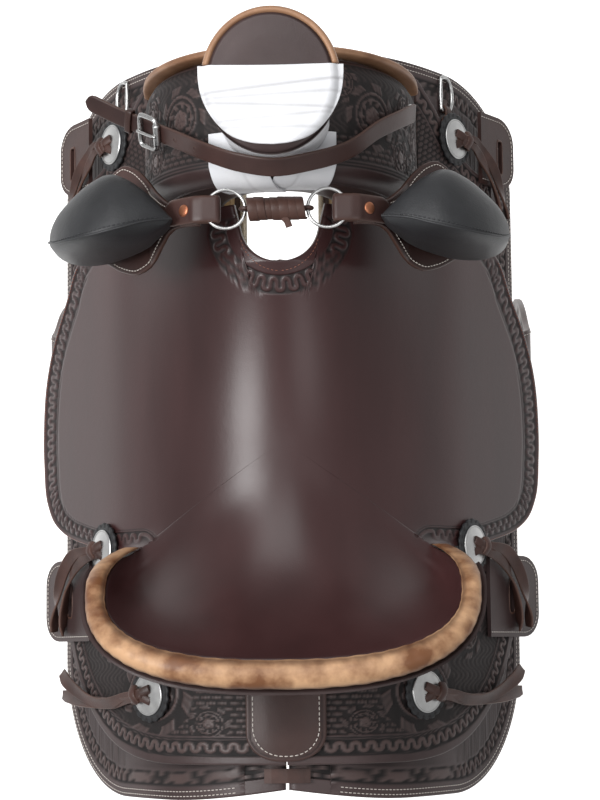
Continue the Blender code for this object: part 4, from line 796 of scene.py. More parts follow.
def seatSurface(rays, shares):
    # along a ray from the dish's middle the rise grows as a power of the share
    share = np.asarray(shares)[:, None]
    x = rays[None, :, 0] * share
    y = seat["dishY"] + (rays[None, :, 1] - seat["dishY"]) * share
    return joined(x, y, seatBase(x, y) + rays[None, :, 2] * share ** rays[None, :, 3])


def gridNormals(points, closedColumns=True):
    # unit normals of a grid of points by differences to the neighbours, turned upward
    along = np.gradient(points, axis=0)
    if closedColumns:
        across = np.roll(points, -1, axis=1) - np.roll(points, 1, axis=1)
    else:
        across = np.gradient(points, axis=1)
    normal = np.cross(along, across)
    normal /= np.maximum(np.linalg.norm(normal, axis=-1, keepdims=True), 1e-12)
    return np.where(normal[..., 2:] < 0, -normal, normal)


def rollRays(angle):
    x, y = rollPoint(angle, roll["inner"])
    rise = np.maximum(rollHeight(angle) - roll["half"] - 0.002 - seatBase(x, y), 0.0)
    power = seat["power"] + (seat["tipPower"] - seat["power"]) * (angle / roll["sweep"]) ** 2
    return joined(x, y, rise, power)


def backLeather(angle):
    # inner and outer face of the leather behind the cantle board, from the board's foot to the roll
    rays = rollRays(angle)
    surface = seatSurface(rays, cantle["shares"])
    normal = gridNormals(surface, closedColumns=False)
    share = np.minimum(np.abs(angle) / cantle["boardSweep"], 1.0)
    board = (cantle["thick"] * (1.0 - cantle["thinning"] * share ** 2))[None, :, None]
    inner = surface - (seat["thick"] + 2 * cantle["gap"] + board) * normal
    return inner, inner - cantle["backThick"] * normal


bend = np.linspace(0.0, cantle["boardSweep"], 60)
inner, outer = backLeather(bend)
foot = (outer + (inner - outer) * cantle["lap"])[0]
buttU = np.append(archU(foot[:, 0], jockeyIn), archU(foot[-1, 0], jockeyIn) + 0.01)
buttY = np.append(foot[:, 1], rearJockey["sideFront"])
order = np.argsort(buttU)
buttU, buttY = buttU[order], buttY[order]


def rearJockeyPattern(u, y, away, along):
    rim, wide, bevel = carve["rimWide"], carve["borderWide"], carve["bevel"]
    band = borderBand(away, along, rim, wide)
    fieldStart = rim + wide + bevel
    inside = soft(fieldStart - 0.0004, fieldStart + 0.0006, away)
    conchoU = float(archU(rearJockey["concho"][0], jockeyOut))
    blooms = [((conchoU, rearJockey["concho"][1]), 0.0285, 1.0, 0.4, 6),
              ((conchoU + 0.062, -0.232), 0.018, -1.0, 0.9, 5), ((conchoU - 0.052, -0.312), 0.012, -1.0, 2.0, 5)]
    woven = 1.0 - soft(0.092, 0.098, u)
    carved = carvedField(u, y, inside, blooms, woven)
    lines = np.maximum(groove(away, rim * 0.86), groove(away, fieldStart - bevel * 0.5))
    return merged(band, carved, (-0.0007 * lines, lines, np.zeros_like(u)))


for side, word in sides:
    across = cornered(rearJockey["join"], rearJockey["edge"], 0.0014, rearJockey["corner"][0], 70)
    rear = rearJockey["rear"] + setback(across, rearJockey["edge"], *rearJockey["corner"])
    front = np.interp(across, buttU, buttY) - setback(across, rearJockey["edge"], *rearJockey["frontCorner"])
    plate(f"rearJockey{word}", side, across, rear, front, jockeyIn, jockeyOut, "tooled", rearJockeyPattern,
          node=f"rear_jockey_{word.lower()}")

plug = {"half": 0.0268, "rear": -0.346, "front": -0.262, "thick": 0.003, "inset": 0.005, "round": 0.026}
plugLow = jockeyOut + arch["clearance"]


def plugRear(share):
    # the plug's rounded rear edge, by share of its half width
    return plug["rear"] + plug["round"] * (1.0 - np.sqrt(np.maximum(1.0 - share ** 2.4, 0.0)))


across = -plug["half"] + edgeSpaced(2 * plug["half"], 0.0014)
rear = plugRear(np.abs(across) / plug["half"])
front = np.full_like(across, plug["front"])
share = alongShares(plug["front"] - plug["rear"], 0.0014)[None, :]
u, y = spread(across, rear, front, share)
line = np.concatenate([joined(across, rear), joined(across, front)[::-1]])
away, _ = edgeField(u, y, line, closed=True)
drop = rounded(away, 0.0014) * 0.0014 + groove(away, plug["inset"] - 0.0022, 0.0005) * 0.0004
bow = 0.0006 * soft(0.004, 0.016, away)
shell("jockeyPlug", onArch(u, y, plugLow + plug["thick"] - drop + bow), onArch(u, y, plugLow), "smooth",
      {"cut": groove(away, plug["inset"] - 0.0022, 0.0005) * 0.8, "rim": rounded(away, 0.0016)},
      node="jockey_plug")
bend = np.linspace(-math.pi / 2, math.pi / 2, 70)
place = (plug["half"] - plug["inset"]) * np.sin(bend)
edgeY = plugRear(np.abs(np.sin(bend))) + plug["inset"]
sideY = np.linspace(plug["front"] - 0.002, edgeY[0], 20)[:-1]
place = np.concatenate([np.full(19, place[0]), place, np.full(19, place[-1])])
edgeY = np.concatenate([sideY, edgeY, sideY[::-1]])
stitchRow("plugStitch", onArch(place, edgeY, plugLow + plug["thick"] + 0.0003), archNormal(place), pitch=0.0046,
          length=0.0032, radius=0.0005)
print("rear jockeys and plug ready")


# Seat leather with both seat jockeys and the hand hole
seatLook = {
    "rollColumns": 72, "sideColumns": 250, "frontColumns": 65, "holeColumns": 44, "holeStart": 0.2, "bandStart": 0.0042,
    "bandWide": 0.0118, "line": 0.0182, "holeBand": 0.013, "holeWide": 0.015, "tipRun": 0.034, "skip": 4,
}


def seatHalf():
    # the off half of the seat's edge from the rear middle to the hand hole: x, y, rise and its power
    rear = rollRays(np.linspace(0.0, roll["sweep"], seatLook["rollColumns"]))
    sidePoints = np.array([rear[-1, :2], *seat["edge"], (0.198, 0.146), (0.18, 0.1505)])
    side = smoothPath(sidePoints, seatLook["sideColumns"])[1:]
    frontX = np.concatenate([np.linspace(0.18, 0.0832, 33), np.linspace(0.082, seat["holeHalf"] + 0.0048, 32)])
    front = joined(frontX, seat["front"])[1:]
    turn = np.linspace(seatLook["holeStart"], math.pi / 2, seatLook["holeColumns"])
    hole = joined(seat["holeHalf"] * np.cos(turn), seat["holeY"] - seat["holeHalf"] * np.sin(turn))
    rest = np.concatenate([side, front, hole])
    # the rise that is left at the roll's tip runs out over the first stretch of the side
    run = np.cumsum(np.linalg.norm(np.diff(rest, axis=0, prepend=rear[-1:, :2]), axis=1))
    rise = rear[-1, 2] * (1.0 - soft(0.0, seatLook["tipRun"], run))
    rest = np.concatenate([rest, rise[:, None], np.full((len(rest), 1), seat["tipPower"])], axis=1)
    return np.concatenate([rear, rest]), side, hole


def polarShell(name, top, hubTop, bottom, hubBottom, finish, marks, skip, **extra):
    # a closed dish: fine top rings round a hub, bottom rings that keep every skip-th column
    rows, columns = top.shape[:2]
    keepRow = np.unique(np.append(np.arange(0, rows, skip * 2), rows - 1))
    keepColumn = np.arange(0, columns, skip)
    low = bottom[np.ix_(keepRow, keepColumn)]
    start, lowRows, lowColumns = rows * columns, len(keepRow), len(keepColumn)
    faces = quadFaces(rows, columns, wrap=True).tolist()
    faces += quadFaces(lowRows, lowColumns, start, wrap=True, flip=True).tolist()
    hubs = start + lowRows * lowColumns
    faces += [[hubs, j, (j + 1) % columns] for j in range(columns)]
    faces += [[hubs + 1, start + (j + 1) % lowColumns, start + j] for j in range(lowColumns)]
    edge, lowEdge = (rows - 1) * columns, start + (lowRows - 1) * lowColumns
    for k in range(lowColumns):
        stop = keepColumn[k + 1] if k + 1 < lowColumns else columns
        upper = [edge + j % columns for j in range(keepColumn[k], stop + 1)]
        faces.append([lowEdge + k, lowEdge + (k + 1) % lowColumns] + upper[::-1])
    points = np.concatenate([top.reshape(-1, 3), low.reshape(-1, 3), [hubTop], [hubBottom]])
    full = {label: np.concatenate([value.ravel(), value[np.ix_(keepRow, keepColumn)].ravel(), [0.0, 0.0]])
            for label, value in marks.items()}
    newPiece(name, points, faces, finish, full, **extra)


half, sideLine, holeLine = seatHalf()
rays = np.concatenate([half, half[1:-1][::-1] * np.array([-1.0, 1.0, 1.0, 1.0])])
shares = np.concatenate([np.linspace(0.02, 0.795, 40), np.linspace(0.801, 0.991, 40),
                         (0.9935, 0.9958, 0.9977, 0.999, 1.0)])
top = seatSurface(rays, shares)
normal = gridNormals(top)
base = top.copy()
planX, planY = np.abs(top[..., 0]), top[..., 1]
across = archU(planX, jockeyOut)
# the border keeps its width as seen from above, so it is measured in plan; its repeat is measured on the leather
sideU = archU(sideLine[:, 0], jockeyOut)
_, alongSide = edgeField(across, planY, joined(sideU, sideLine[:, 1]))
awaySide, _ = edgeField(planX, planY, sideLine)
awayHole, _ = edgeField(planX, planY, holeLine)
turnAtHole = np.arctan2(top[..., 0], seat["holeY"] - planY) * (seat["holeHalf"] + 0.02)
edgeLine = joined(archU(half[:, 0], jockeyOut), half[:, 1])
awayEdge, _ = edgeField(across, planY, edgeLine)
sideMask = soft(-0.15, -0.14, planY) * (1.0 - soft(0.128, 0.14, planY))
bandHeight, bandCut, bandRim = borderBand(awaySide, alongSide, seatLook["bandStart"], seatLook["bandWide"])
holeHeight, holeCut, holeRim = borderBand(awayHole, turnAtHole, seatLook["holeBand"], seatLook["holeWide"])
holeMask = 1.0 - soft(0.136, 0.142, planY)
line = groove(awaySide, seatLook["line"], 0.0005)
cut = np.maximum.reduce([bandCut * sideMask, holeCut * holeMask, 0.7 * line * sideMask])
height = np.minimum.reduce([bandHeight * sideMask, holeHeight * holeMask, -0.0005 * line * sideMask])
burnish = rounded(awayEdge, 0.0018)
rim = np.maximum.reduce([bandRim * sideMask, holeRim * holeMask, burnish * 0.6])
bottom = base - seat["thick"] * normal
top = base + normal * (height - burnish * 0.0018)[..., None]
hub = np.array([0.0, seat["dishY"], float(seatBase(0.0, seat["dishY"]))])
polarShell("seatLeather", top, hub, bottom, hub - np.array([0.0, 0.0, seat["thick"]]), "seat",
           {"cut": cut, "rim": rim}, seatLook["skip"], node="seat_leather")


def seatStitch(name, first, inset, columns, **extra):
    # a stitch row that keeps a distance inside the seat's edge, over some of its rays
    reach = np.linalg.norm(joined(half[:, 0], half[:, 1] - seat["dishY"]), axis=1)
    for sign, label in ((1.0, "Right"), (-1.0, "Left")):
        some = half[first:first + columns] * np.array([sign, 1.0, 1.0, 1.0])
        tilt = archU(np.abs(some[:, 0]), jockeyOut)
        stretch = np.gradient(tilt) / np.maximum(np.abs(np.gradient(np.abs(some[:, 0]))), 1e-6)
        share = 1.0 - inset / (reach[first:first + columns] * np.clip(stretch, 1.0, 1.7))
        points = np.stack([seatSurface(some[k:k + 1], [share[k]])[0, 0] for k in range(len(some))])
        around = np.stack([seatSurface(some[k:k + 1], [share[k] - 0.01])[0, 0] for k in range(len(some))])
        out = unit(np.cross(points - around, np.gradient(points, axis=0)))
        out = np.where(out[:, 2:] < 0, -out, out)
        stitchRow(f"{name}{label}", points + out * 0.0001, out, **extra)


firstSide = seatLook["rollColumns"] + 22
seatStitch("seatStitch", firstSide, 0.0026, 205, pitch=0.0036, length=0.0022, radius=0.00032, finish="redThread")
firstHole = seatLook["rollColumns"] + seatLook["sideColumns"] + seatLook["frontColumns"] - 2
seatStitch("holeStitch", firstHole, 0.0085, seatLook["holeColumns"] - 1, pitch=0.0036, length=0.0023, radius=0.00034,
           finish="redThread")
print("seat ready")


# Cantle roll and the leather behind the cantle
rollLook = {"stations": 240, "section": 24}
angle = np.linspace(-roll["sweep"], roll["sweep"], rollLook["stations"])
innerX, innerY = rollPoint(angle, roll["inner"])
outerX, outerY = rollPoint(angle, roll["outer"])
middle = joined((innerX + outerX) / 2, (innerY + outerY) / 2, rollHeight(angle))
arm = joined(outerX - innerX, outerY - innerY, 0.0) / 2
wide = np.linalg.norm(arm, axis=1)
arm *= np.maximum(1.0, 0.003 / np.maximum(wide, 1e-5))[:, None]
lift = roll["half"] * np.clip(np.sqrt(wide / wide.max()), 0.25, 1.0)
turn = fullTurn(rollLook["section"])
ripple = 1.0 + 0.02 * np.sin(angle[:, None] * 61.0 + 2.0 * np.sin(turn)[None]) + 0.012 * np.sin(angle[:, None] * 23.0)
rings = (middle[:, None] + arm[:, None] * (np.cos(turn)[None] * ripple)[..., None]
         + np.array([0.0, 0.0, 1.0]) * (lift[:, None] * np.sin(turn)[None] * ripple)[..., None])
# dark seam lines along the roll's inner and outer edges, and painted shade along its inner side, rippled along the roll
innerRim = np.exp(-((turn - 2.55) / 0.26) ** 2)[None] * np.ones((len(angle), 1))
outerRim = np.exp(-((turn - 0.16) / 0.25) ** 2)[None] * np.ones((len(angle), 1))
shadeRipple = 0.5 + 0.5 * np.sin(angle[:, None] * 17.0 + 1.7 * np.sin(angle[:, None] * 41.0))
rollSeamsAndShade = np.clip(innerRim * 0.75 + outerRim * 0.9 + 0.25 * shadeRipple * np.exp(-((turn - 2.2) / 0.5) ** 2)[None], 0.0, 1.0)
tube("cantleRoll", rings, "tan", {"cut": rollSeamsAndShade}, tips=0.5, node="cantle_roll")

bend = np.linspace(-cantle["sweep"], cantle["sweep"], 150)
absBend = np.abs(bend)
innerFace, outerFace = backLeather(absBend)
sheets = []
for sheet, dropBy in ((innerFace, 0.0), (outerFace, cantle["backThick"])):
    sheet = sheet.copy()
    sheet[..., 0] *= np.sign(bend)[None]
    x, y = rollPoint(bend, (roll["outer"][0] + cantle["lipReach"], roll["outer"][1] + cantle["lipReach"]))
    lip = joined(x, y, rollHeight(bend) - roll["half"] * cantle["lipDrop"] - dropBy)
    low = sheet[0].copy()
    low[:, 2] = archHeight(low[:, 0], jockeyOut) + cantle["foot"]
    rows = np.concatenate([low[None], sheet, lip[None]])
    knots = np.linspace(0.0, 1.0, len(rows))
    fine = np.linspace(0.0, 1.0, 21)
    sheets.append(np.stack([np.stack([np.interp(fine, knots, rows[:, j, k]) for j in range(len(bend))], 1)
                            for k in range(3)], -1))
shell("cantleBack", sheets[1], sheets[0], "tooled", skip=2, node="cantle_back")
print("cantle ready")


# Fork cover with its carving, and the lip along the gullet
fork = {
    "rear": 0.157, "front": 0.268, "half": 0.122, "top": 0.166, "foot": -0.002, "fullness": 2.3, "round": 0.0195,
    "cover": 0.0045, "columns": 330, "step": 0.0013, "lipThick": 0.007, "lipDepth": 0.022,
}
forkFloor = float(archHeight(fork["half"], jockeyOut)) + 0.001 + 0.012


def forkLine(angle, offset):
    # the fork's outer line seen from the front, a superellipse grown by an offset
    power = 2 / fork["fullness"]
    x = (fork["half"] + offset) * powered(np.cos(angle), power)
    return x, fork["foot"] + (fork["top"] + offset - fork["foot"]) * np.abs(np.sin(angle)) ** power


def forkAngles(count, offset):
    # angles that lie evenly along the outline between its two feet
    fine = np.linspace(0.0, math.pi, 6001)
    x, z = forkLine(fine, offset)
    keep = z >= forkFloor
    fine, x, z = fine[keep], x[keep], z[keep]
    run = runAlong(joined(x, z))
    place = np.linspace(0.0, run[-1], count)
    return np.interp(place, run, fine), place - run[-1] / 2


coverAngle, coverRun = forkAngles(fork["columns"], fork["cover"] + arch["clearance"])
arc = np.linspace(0.0, math.pi / 2, 22)
rearRound = [(fork["rear"] + fork["round"] * (1 - math.sin(a)), fork["round"] * (1 - math.cos(a))) for a in arc[::-1]]
flatY = np.arange(fork["rear"] + fork["round"] + fork["step"], fork["front"] - fork["round"], fork["step"])
frontRound = [(fork["rear"] + fork["front"] - v, w) for v, w in rearRound[::-1]]
depths = rearRound + [(float(v), 0.0) for v in flatY] + frontRound
outside, inside = [], []
for v, inset in depths:
    x, z = forkLine(coverAngle, fork["cover"] + arch["clearance"] - inset)
    outside.append(joined(x, v, z))
    v = min(max(v, fork["rear"] + fork["cover"] - arch["clearance"]), fork["front"] - fork["cover"] + arch["clearance"])
    x, z = forkLine(coverAngle, arch["clearance"] - max(inset - 0.0004, 0.0))
    inside.append(joined(x, v, z))
outside, inside = np.array(outside), np.array(inside)
edgeRun = runAlong(outside[:, fork["columns"] // 2])
b, a = np.meshgrid(edgeRun, coverRun, indexing="ij")
total = edgeRun[-1]
blooms = []
for sign in (-1.0, 1.0):
    blooms += [((sign * 0.095, total - 0.062), 0.0225, sign, 0.6, 6),
               ((sign * 0.141, total - 0.09), 0.015, -sign, 1.4, 5),
               ((sign * 0.15, total - 0.047), 0.0155, sign, 2.2, 5),
               ((sign * 0.06, total - 0.036), 0.0125, -sign, 0.2, 5),
               ((sign * 0.186, total - 0.07), 0.0165, -sign, 0.9, 5)]
fieldStart, weaveEnd = 0.029, 0.053
inField = soft(fieldStart, fieldStart + 0.0008, b) * (1.0 - soft(total - 0.0175, total - 0.0165, b))
carved = carvedField(a, b, inField, blooms, 1.0 - soft(weaveEnd - 0.0006, weaveEnd + 0.0006, b))
lines = np.maximum.reduce([groove(b, fieldStart - 0.0012), groove(b, weaveEnd), groove(b, total - 0.016),
                           groove(b, fieldStart - 0.004)])
height, cut, rim = merged(carved, (-0.0008 * lines, lines, np.zeros_like(a)))
normal = gridNormals(outside, closedColumns=False)
outwardX = np.sign((normal * (outside - np.array([0.0, 0.21, 0.05]))).sum(-1, keepdims=True))
shell("forkCover", outside + normal * outwardX * height[..., None], inside, "tooled", {"cut": cut, "rim": rim},
      node="fork_cover")

lipAngle, _ = forkAngles(240, fork["cover"] + 0.002)
middleOffset = fork["cover"] + 0.002 - fork["lipDepth"] / 2
x, z = forkLine(lipAngle, middleOffset)
path = joined(x, fork["front"] + arch["clearance"] + fork["lipThick"] / 2, z)
outerX, outerZ = forkLine(lipAngle, middleOffset + 0.004)
face = unit(joined(outerX - x, 0.0, outerZ - z))
turn = fullTurn(20)
section = joined(fork["lipThick"] / 2 * powered(np.cos(turn), 0.7), fork["lipDepth"] / 2 * powered(np.sin(turn), 0.5))
lipCut = np.exp(-((turn - math.pi * 0.5) / 0.22) ** 2)[None] * 0.35 * np.ones((len(path), 1))
carried("gulletLip", path, section, [0.0, 1.0, 0.0], face, "brownTan", marks={"cut": lipCut}, node="gullet_lip")
print("fork ready")


# Horn: dark cap with a tan rim, white flap and neck wrap
horn = {
    "footY": 0.203, "lean": 0.15, "post": 0.026, "wrapFoot": 0.046, "wrapTop": 0.054, "flat": 0.78,
    "cap": (0.0, 0.218, 0.266), "halfWide": 0.057, "halfLong": 0.061, "thick": 0.028, "tilt": math.radians(4.7),
    "crown": 0.0012, "edge": 0.16, "flap": 0.0025, "flapFront": 0.0118, "rimWide": 0.0062, "rimHigh": 0.0034,
    "rimInset": 0.0028, "rimAngle": 0.22,
}


def capPoint(x, y, z):
    # a point on the cap's own axes, tilted so that its front stands higher
    cos, sin = math.cos(horn["tilt"]), math.sin(horn["tilt"])
    return joined(x + horn["cap"][0], y * cos - z * sin + horn["cap"][1], y * sin + z * cos + horn["cap"][2])


def capTop(share):
    # height of the cap's upper face at a share of its radius: a soft crown, then a round edge
    edge = np.clip((share - (1.0 - horn["edge"])) / horn["edge"], 0.0, 1.0)
    crown = horn["crown"] * (1.0 - soft(0.55, 0.84, share))
    return horn["thick"] / 2 * np.sqrt(1.0 - edge ** 2) + crown


def lathe(name, profile, point, finish, columns=96, marks=None, **extra):
    # a closed round piece from a profile of (share, height) pairs that starts and ends at the middle
    turn = fullTurn(columns)
    rings = np.stack([point(share * np.cos(turn), share * np.sin(turn), height) for share, height in profile])
    rows = len(profile)
    full = {label: np.broadcast_to(np.asarray(values, float).reshape(rows, -1), (rows, columns))
            for label, values in (marks or {}).items()}
    return tube(name, rings, finish, full, **extra)


def small(centre, axisX, axisY, out, radius):
    # a place function for a small lathe piece that stands on a surface
    def point(px, py, height):
        outer = np.multiply.outer
        return centre + outer(px * radius, axisX) + outer(py * radius, axisY) + outer(height, out)
    return point


def capPlan(x, y, height):
    return capPoint(x * horn["halfWide"], y * horn["halfLong"], height)


edgeShares = 1.0 - horn["edge"] * (1 - np.sin(np.linspace(0.1, 1.57, 12)))
shares = np.concatenate([[0.02], np.linspace(0.1, 0.84, 12), edgeShares])
rimInner = 1.0 - horn["rimWide"] / horn["halfWide"]
underRim = shares > rimInner
upper = list(zip((shares * np.where(underRim, 0.975, 1.0)).tolist(),
                 (capTop(shares) - np.where(underRim, 0.0016, 0.0)).tolist()))
profile = [(s, min(h, horn["thick"] / 2 + horn["crown"])) for s, h in upper]
profile += [(0.985, h) for h in (0.004, 0.0, -0.004)] + [(s, -abs(h)) for s, h in upper[::-1][3:]]
lathe("hornCap", profile[::-1], capPlan, "tooled", node="horn_cap")
turn = np.linspace(horn["rimAngle"], math.pi - horn["rimAngle"], 90)
rimAt = 1.0 - horn["rimInset"] / horn["halfWide"]
path = capPlan(np.cos(turn) * rimAt, np.sin(turn) * rimAt, capTop(rimAt) * 0.62)
face = joined(np.cos(turn), np.sin(turn), 0.0)
up = np.broadcast_to([0.0, -math.sin(horn["tilt"]), math.cos(horn["tilt"])], path.shape)
bead = fullTurn(14)
section = joined(horn["rimWide"] * np.cos(bead), horn["rimHigh"] * np.sin(bead))
# painted shade on the bead's underside, below the cap's edge
rimUnderShade = np.exp(-((bead - 3.4) / 0.5) ** 2)[None] * 0.6
carried("hornRim", path, section, up, face, "brownTan", marks={"cut": rimUnderShade, "rim": 0.2})


flapLine = np.array([(0.0, -0.885), (0.3, -0.855), (0.58, -0.755), (0.85, -0.5), (1.0, -0.22), (1.045, 0.02),
                     (1.05, 0.19)])
halfLine = smoothPath(flapLine, 60)
across = np.concatenate([-halfLine[::-1, 0], halfLine[1:, 0]])
edge = np.concatenate([halfLine[::-1, 1], halfLine[1:, 1]])
front = horn["flapFront"] / horn["halfLong"] - 0.02 * (1.0 - across ** 2)
share = np.linspace(0.0, 1.0, 70)[None, :]
x, y = spread(across, front, np.minimum(edge, front - 0.01), share)
reach = np.hypot(x, y)
height = capTop(np.minimum(reach, 0.975)) + 0.0004 - 0.012 * np.maximum(reach - 0.975, 0.0)
folds = np.zeros_like(x)
for start, slope, depth in ((-0.1, 0.1, 1.0), (-0.22, 0.05, 0.7), (-0.36, -0.04, 0.9), (-0.52, 0.08, 0.7),
                            (-0.66, 0.0, 0.6)):
    folds = np.maximum(folds, depth * np.exp(-((y - start - slope * x) / 0.02) ** 2))
pucker = 0.0006 * np.sin(x * 13.0 + 4.0 * y) * soft(0.2, 0.9, -y)
top = capPlan(x, y, height + horn["flap"] + pucker - folds * 0.0009)
# the folds dip the hide a little, and painted shade darkens it along them
shell("hornFlap", top, capPlan(x, y, height), "hide", {"cut": folds * 0.62}, skip=3, node="horn_flap")


def hornAxis(z):
    return horn["footY"] + horn["lean"] * (z - fork["top"])


wrapTop = horn["cap"][2] - horn["thick"] / 2 - 0.0008
wrapBase = fork["top"] + fork["cover"]
turn = fullTurn(120)
levels = np.linspace(0.0, 1.0, 34)
outerRings, innerRings, lapShades = [], [], []
for share in levels:
    z = wrapBase + (wrapTop - wrapBase) * share
    spiral = (share * 3.2 + turn / (2 * math.pi)) % 1.0
    step = 0.0013 * (1.0 - spiral) + 0.0005 * np.sin(3 * turn + 9.0 * share)
    radius = horn["wrapFoot"] + (horn["wrapTop"] - horn["wrapFoot"]) * share ** 2 - 0.0006 + step
    for rings, size in ((outerRings, radius), (innerRings, np.full_like(turn, horn["post"] + 0.0004))):
        flat = horn["flat"] if rings is outerRings else 1.0
        ring = joined(size * np.cos(turn), hornAxis(z) + size * flat * np.sin(turn), z)
        if share == 0.0:
            part = np.clip(np.abs(ring[:, 0]) / (fork["half"] + fork["cover"]), 0.0, 1.0)
            lift = (1.0 - part ** fork["fullness"]) ** (1 / fork["fullness"])
            ring[:, 2] = fork["foot"] + (fork["top"] + fork["cover"] - fork["foot"]) * lift + 0.0008
        if share == 1.0:
            ring[:, 2] = wrapTop + (ring[:, 1] - horn["cap"][1]) * math.tan(horn["tilt"])
        rings.append(ring)
    # painted shade along the step at each lap's edge
    lapShades.append(np.exp(-(np.minimum(spiral, 1.0 - spiral) / 0.07) ** 2))
profileRings = np.array(outerRings + innerRings[::-1])
rows, columns = profileRings.shape[:2]
wrapLapShade = np.concatenate([np.array(lapShades), np.zeros((len(levels), columns))]) * 0.7
newPiece("hornWrap", profileRings, quadFaces(rows, columns, wrap=True, loop=True).tolist(), "hide", {"cut": wrapLapShade},
         node="horn_wrap")
print("horn ready")


# Front jockeys
frontJockey = {"edge": ((0.127, 0.292), (0.147, 0.264), (0.16, 0.24), (0.181, 0.219), (0.204, 0.21))}
edgeU = np.array([float(archU(x, jockeyOut)) for x, _ in frontJockey["edge"]])
edgeY = np.array([v for _, v in frontJockey["edge"]])
edgePath = smoothPath(joined(edgeU, edgeY), 80)
innerU = float(archU(fork["half"] + fork["cover"] + 0.002, jockeyOut))


def frontJockeyPattern(u, y, away, along):
    band = borderBand(away, along, 0.005, 0.011)
    inner = soft(0.018, 0.019, away)
    woven = weave(u + y * 0.6, y - u * 0.6)
    sunk = inner * (1.0 - woven)
    return merged(band, (-carve["depth"] * sunk, sunk, inner * woven * 0.5))


for side, word in sides:
    across = innerU + edgeSpaced(edgeU[-1] - innerU, 0.0013)
    front = np.interp(across, edgePath[:, 0], edgePath[:, 1])
    rear = seat["front"] + 0.0006 + setback(across, edgeU[-1], 0.02, 0.01)
    plate(f"frontJockey{word}", side, across, rear, front, jockeyIn, jockeyOut, "tooled", frontJockeyPattern,
          node=f"front_jockey_{word.lower()}")
print("front jockeys ready")


# Plain leather over the fork's rear and front faces, and the wrap's two ends on the rear slope
apron = {"thick": 0.003, "gulletHalf": 0.056, "gulletTop": 0.114, "inset": 0.0175}
for label, y, sign in (("Rear", fork["rear"] + 0.0012, -1.0), ("Front", fork["front"] - 0.0012, 1.0)):
    outerX, outerZ = forkLine(coverAngle, fork["cover"] - apron["inset"])
    t = np.linspace(0.0, math.pi, 4001)
    gx = apron["gulletHalf"] * powered(np.cos(t), 0.85)
    gz = fork["foot"] + (apron["gulletTop"] - fork["foot"]) * np.abs(np.sin(t)) ** 0.85
    keep = gz > forkFloor + 0.004
    gx, gz = gx[keep], gz[keep]
    run = runAlong(joined(gx, gz))
    inX, inZ = sampled(np.linspace(0.0, run[-1], len(coverAngle)), run, joined(gx, gz)).T
    share = np.linspace(0.0, 1.0, 16)[:, None]
    x, z = outerX + (inX - outerX) * share, np.maximum(outerZ, forkFloor + 0.004) + (inZ - outerZ) * share
    z = np.maximum(z, forkFloor + 0.003)
    face = joined(x, y + sign * apron["thick"] * 0.4, z)
    back = joined(x, y - sign * apron["thick"] * 0.6, z)
    shell(f"forkApron{label}", face, back, "smooth", {"cut": 0.25 * np.ones_like(x)}, skip=3)

wrapEnd = {
    "drop": 0.046, "rise": 0.022, "lift": 0.0016, "thick": 0.0016, "shift": 0.003, "lap": 0.002,
    "outer": (0.0555, 0.0165), "inner": (0.017, 0.0275), "taperFrom": 0.39, "taperPower": 1.3,
}


def onForkRear(x, run, lift):
    # a place on the fork cover's rear slope: run is measured back and down from the top's flat
    flat = fork["rear"] + fork["round"]
    bendLength = fork["round"] * math.pi / 2
    turned = np.clip(run / fork["round"], 0.0, math.pi / 2)
    y = flat - np.minimum(run, 0.0) - fork["round"] * np.sin(turned) - lift * np.sin(turned)
    fall = fork["round"] * (1.0 - np.cos(turned)) + np.maximum(run - bendLength, 0.0)
    part = np.clip(np.abs(x) / (fork["half"] + fork["cover"]), 0.0, 0.999)
    z = fork["foot"] + (fork["top"] + fork["cover"] - fork["foot"]) * (1.0 - part ** fork["fullness"]) ** (
        1 / fork["fullness"])
    return joined(x, y, z - fall + lift * np.cos(turned))


for k, (sign, lift) in enumerate(((1.0, wrapEnd["lift"]), (-1.0, wrapEnd["lift"] + wrapEnd["lap"]))):
    along = np.linspace(0.0, 1.0, 70)[:, None]
    across = np.linspace(0.0, 1.0, 60)[None, :]
    taper = np.clip((along - wrapEnd["taperFrom"]) / (1.0 - wrapEnd["taperFrom"]), 0.0, 1.0) ** wrapEnd["taperPower"]
    outerEdge = sign * (wrapEnd["outer"][0] - wrapEnd["outer"][1] * taper) - wrapEnd["shift"]
    innerEdge = sign * (wrapEnd["inner"][0] - wrapEnd["inner"][1] * along) - wrapEnd["shift"]
    x = outerEdge + (innerEdge - outerEdge) * across
    run = -wrapEnd["rise"] + (wrapEnd["drop"] + wrapEnd["rise"]) * along + 0 * across
    crease = np.exp(-((across - 0.5 - 0.15 * along) / 0.03) ** 2)
    top = onForkRear(x, run, lift + wrapEnd["thick"] - 0.0003 * crease)
    # painted shade darkens the hide along the crease
    shell(f"hornWrapEnd{k}", top, onForkRear(x, run, np.full_like(x, lift)), "hide", {"cut": crease * 0.25}, skip=3)


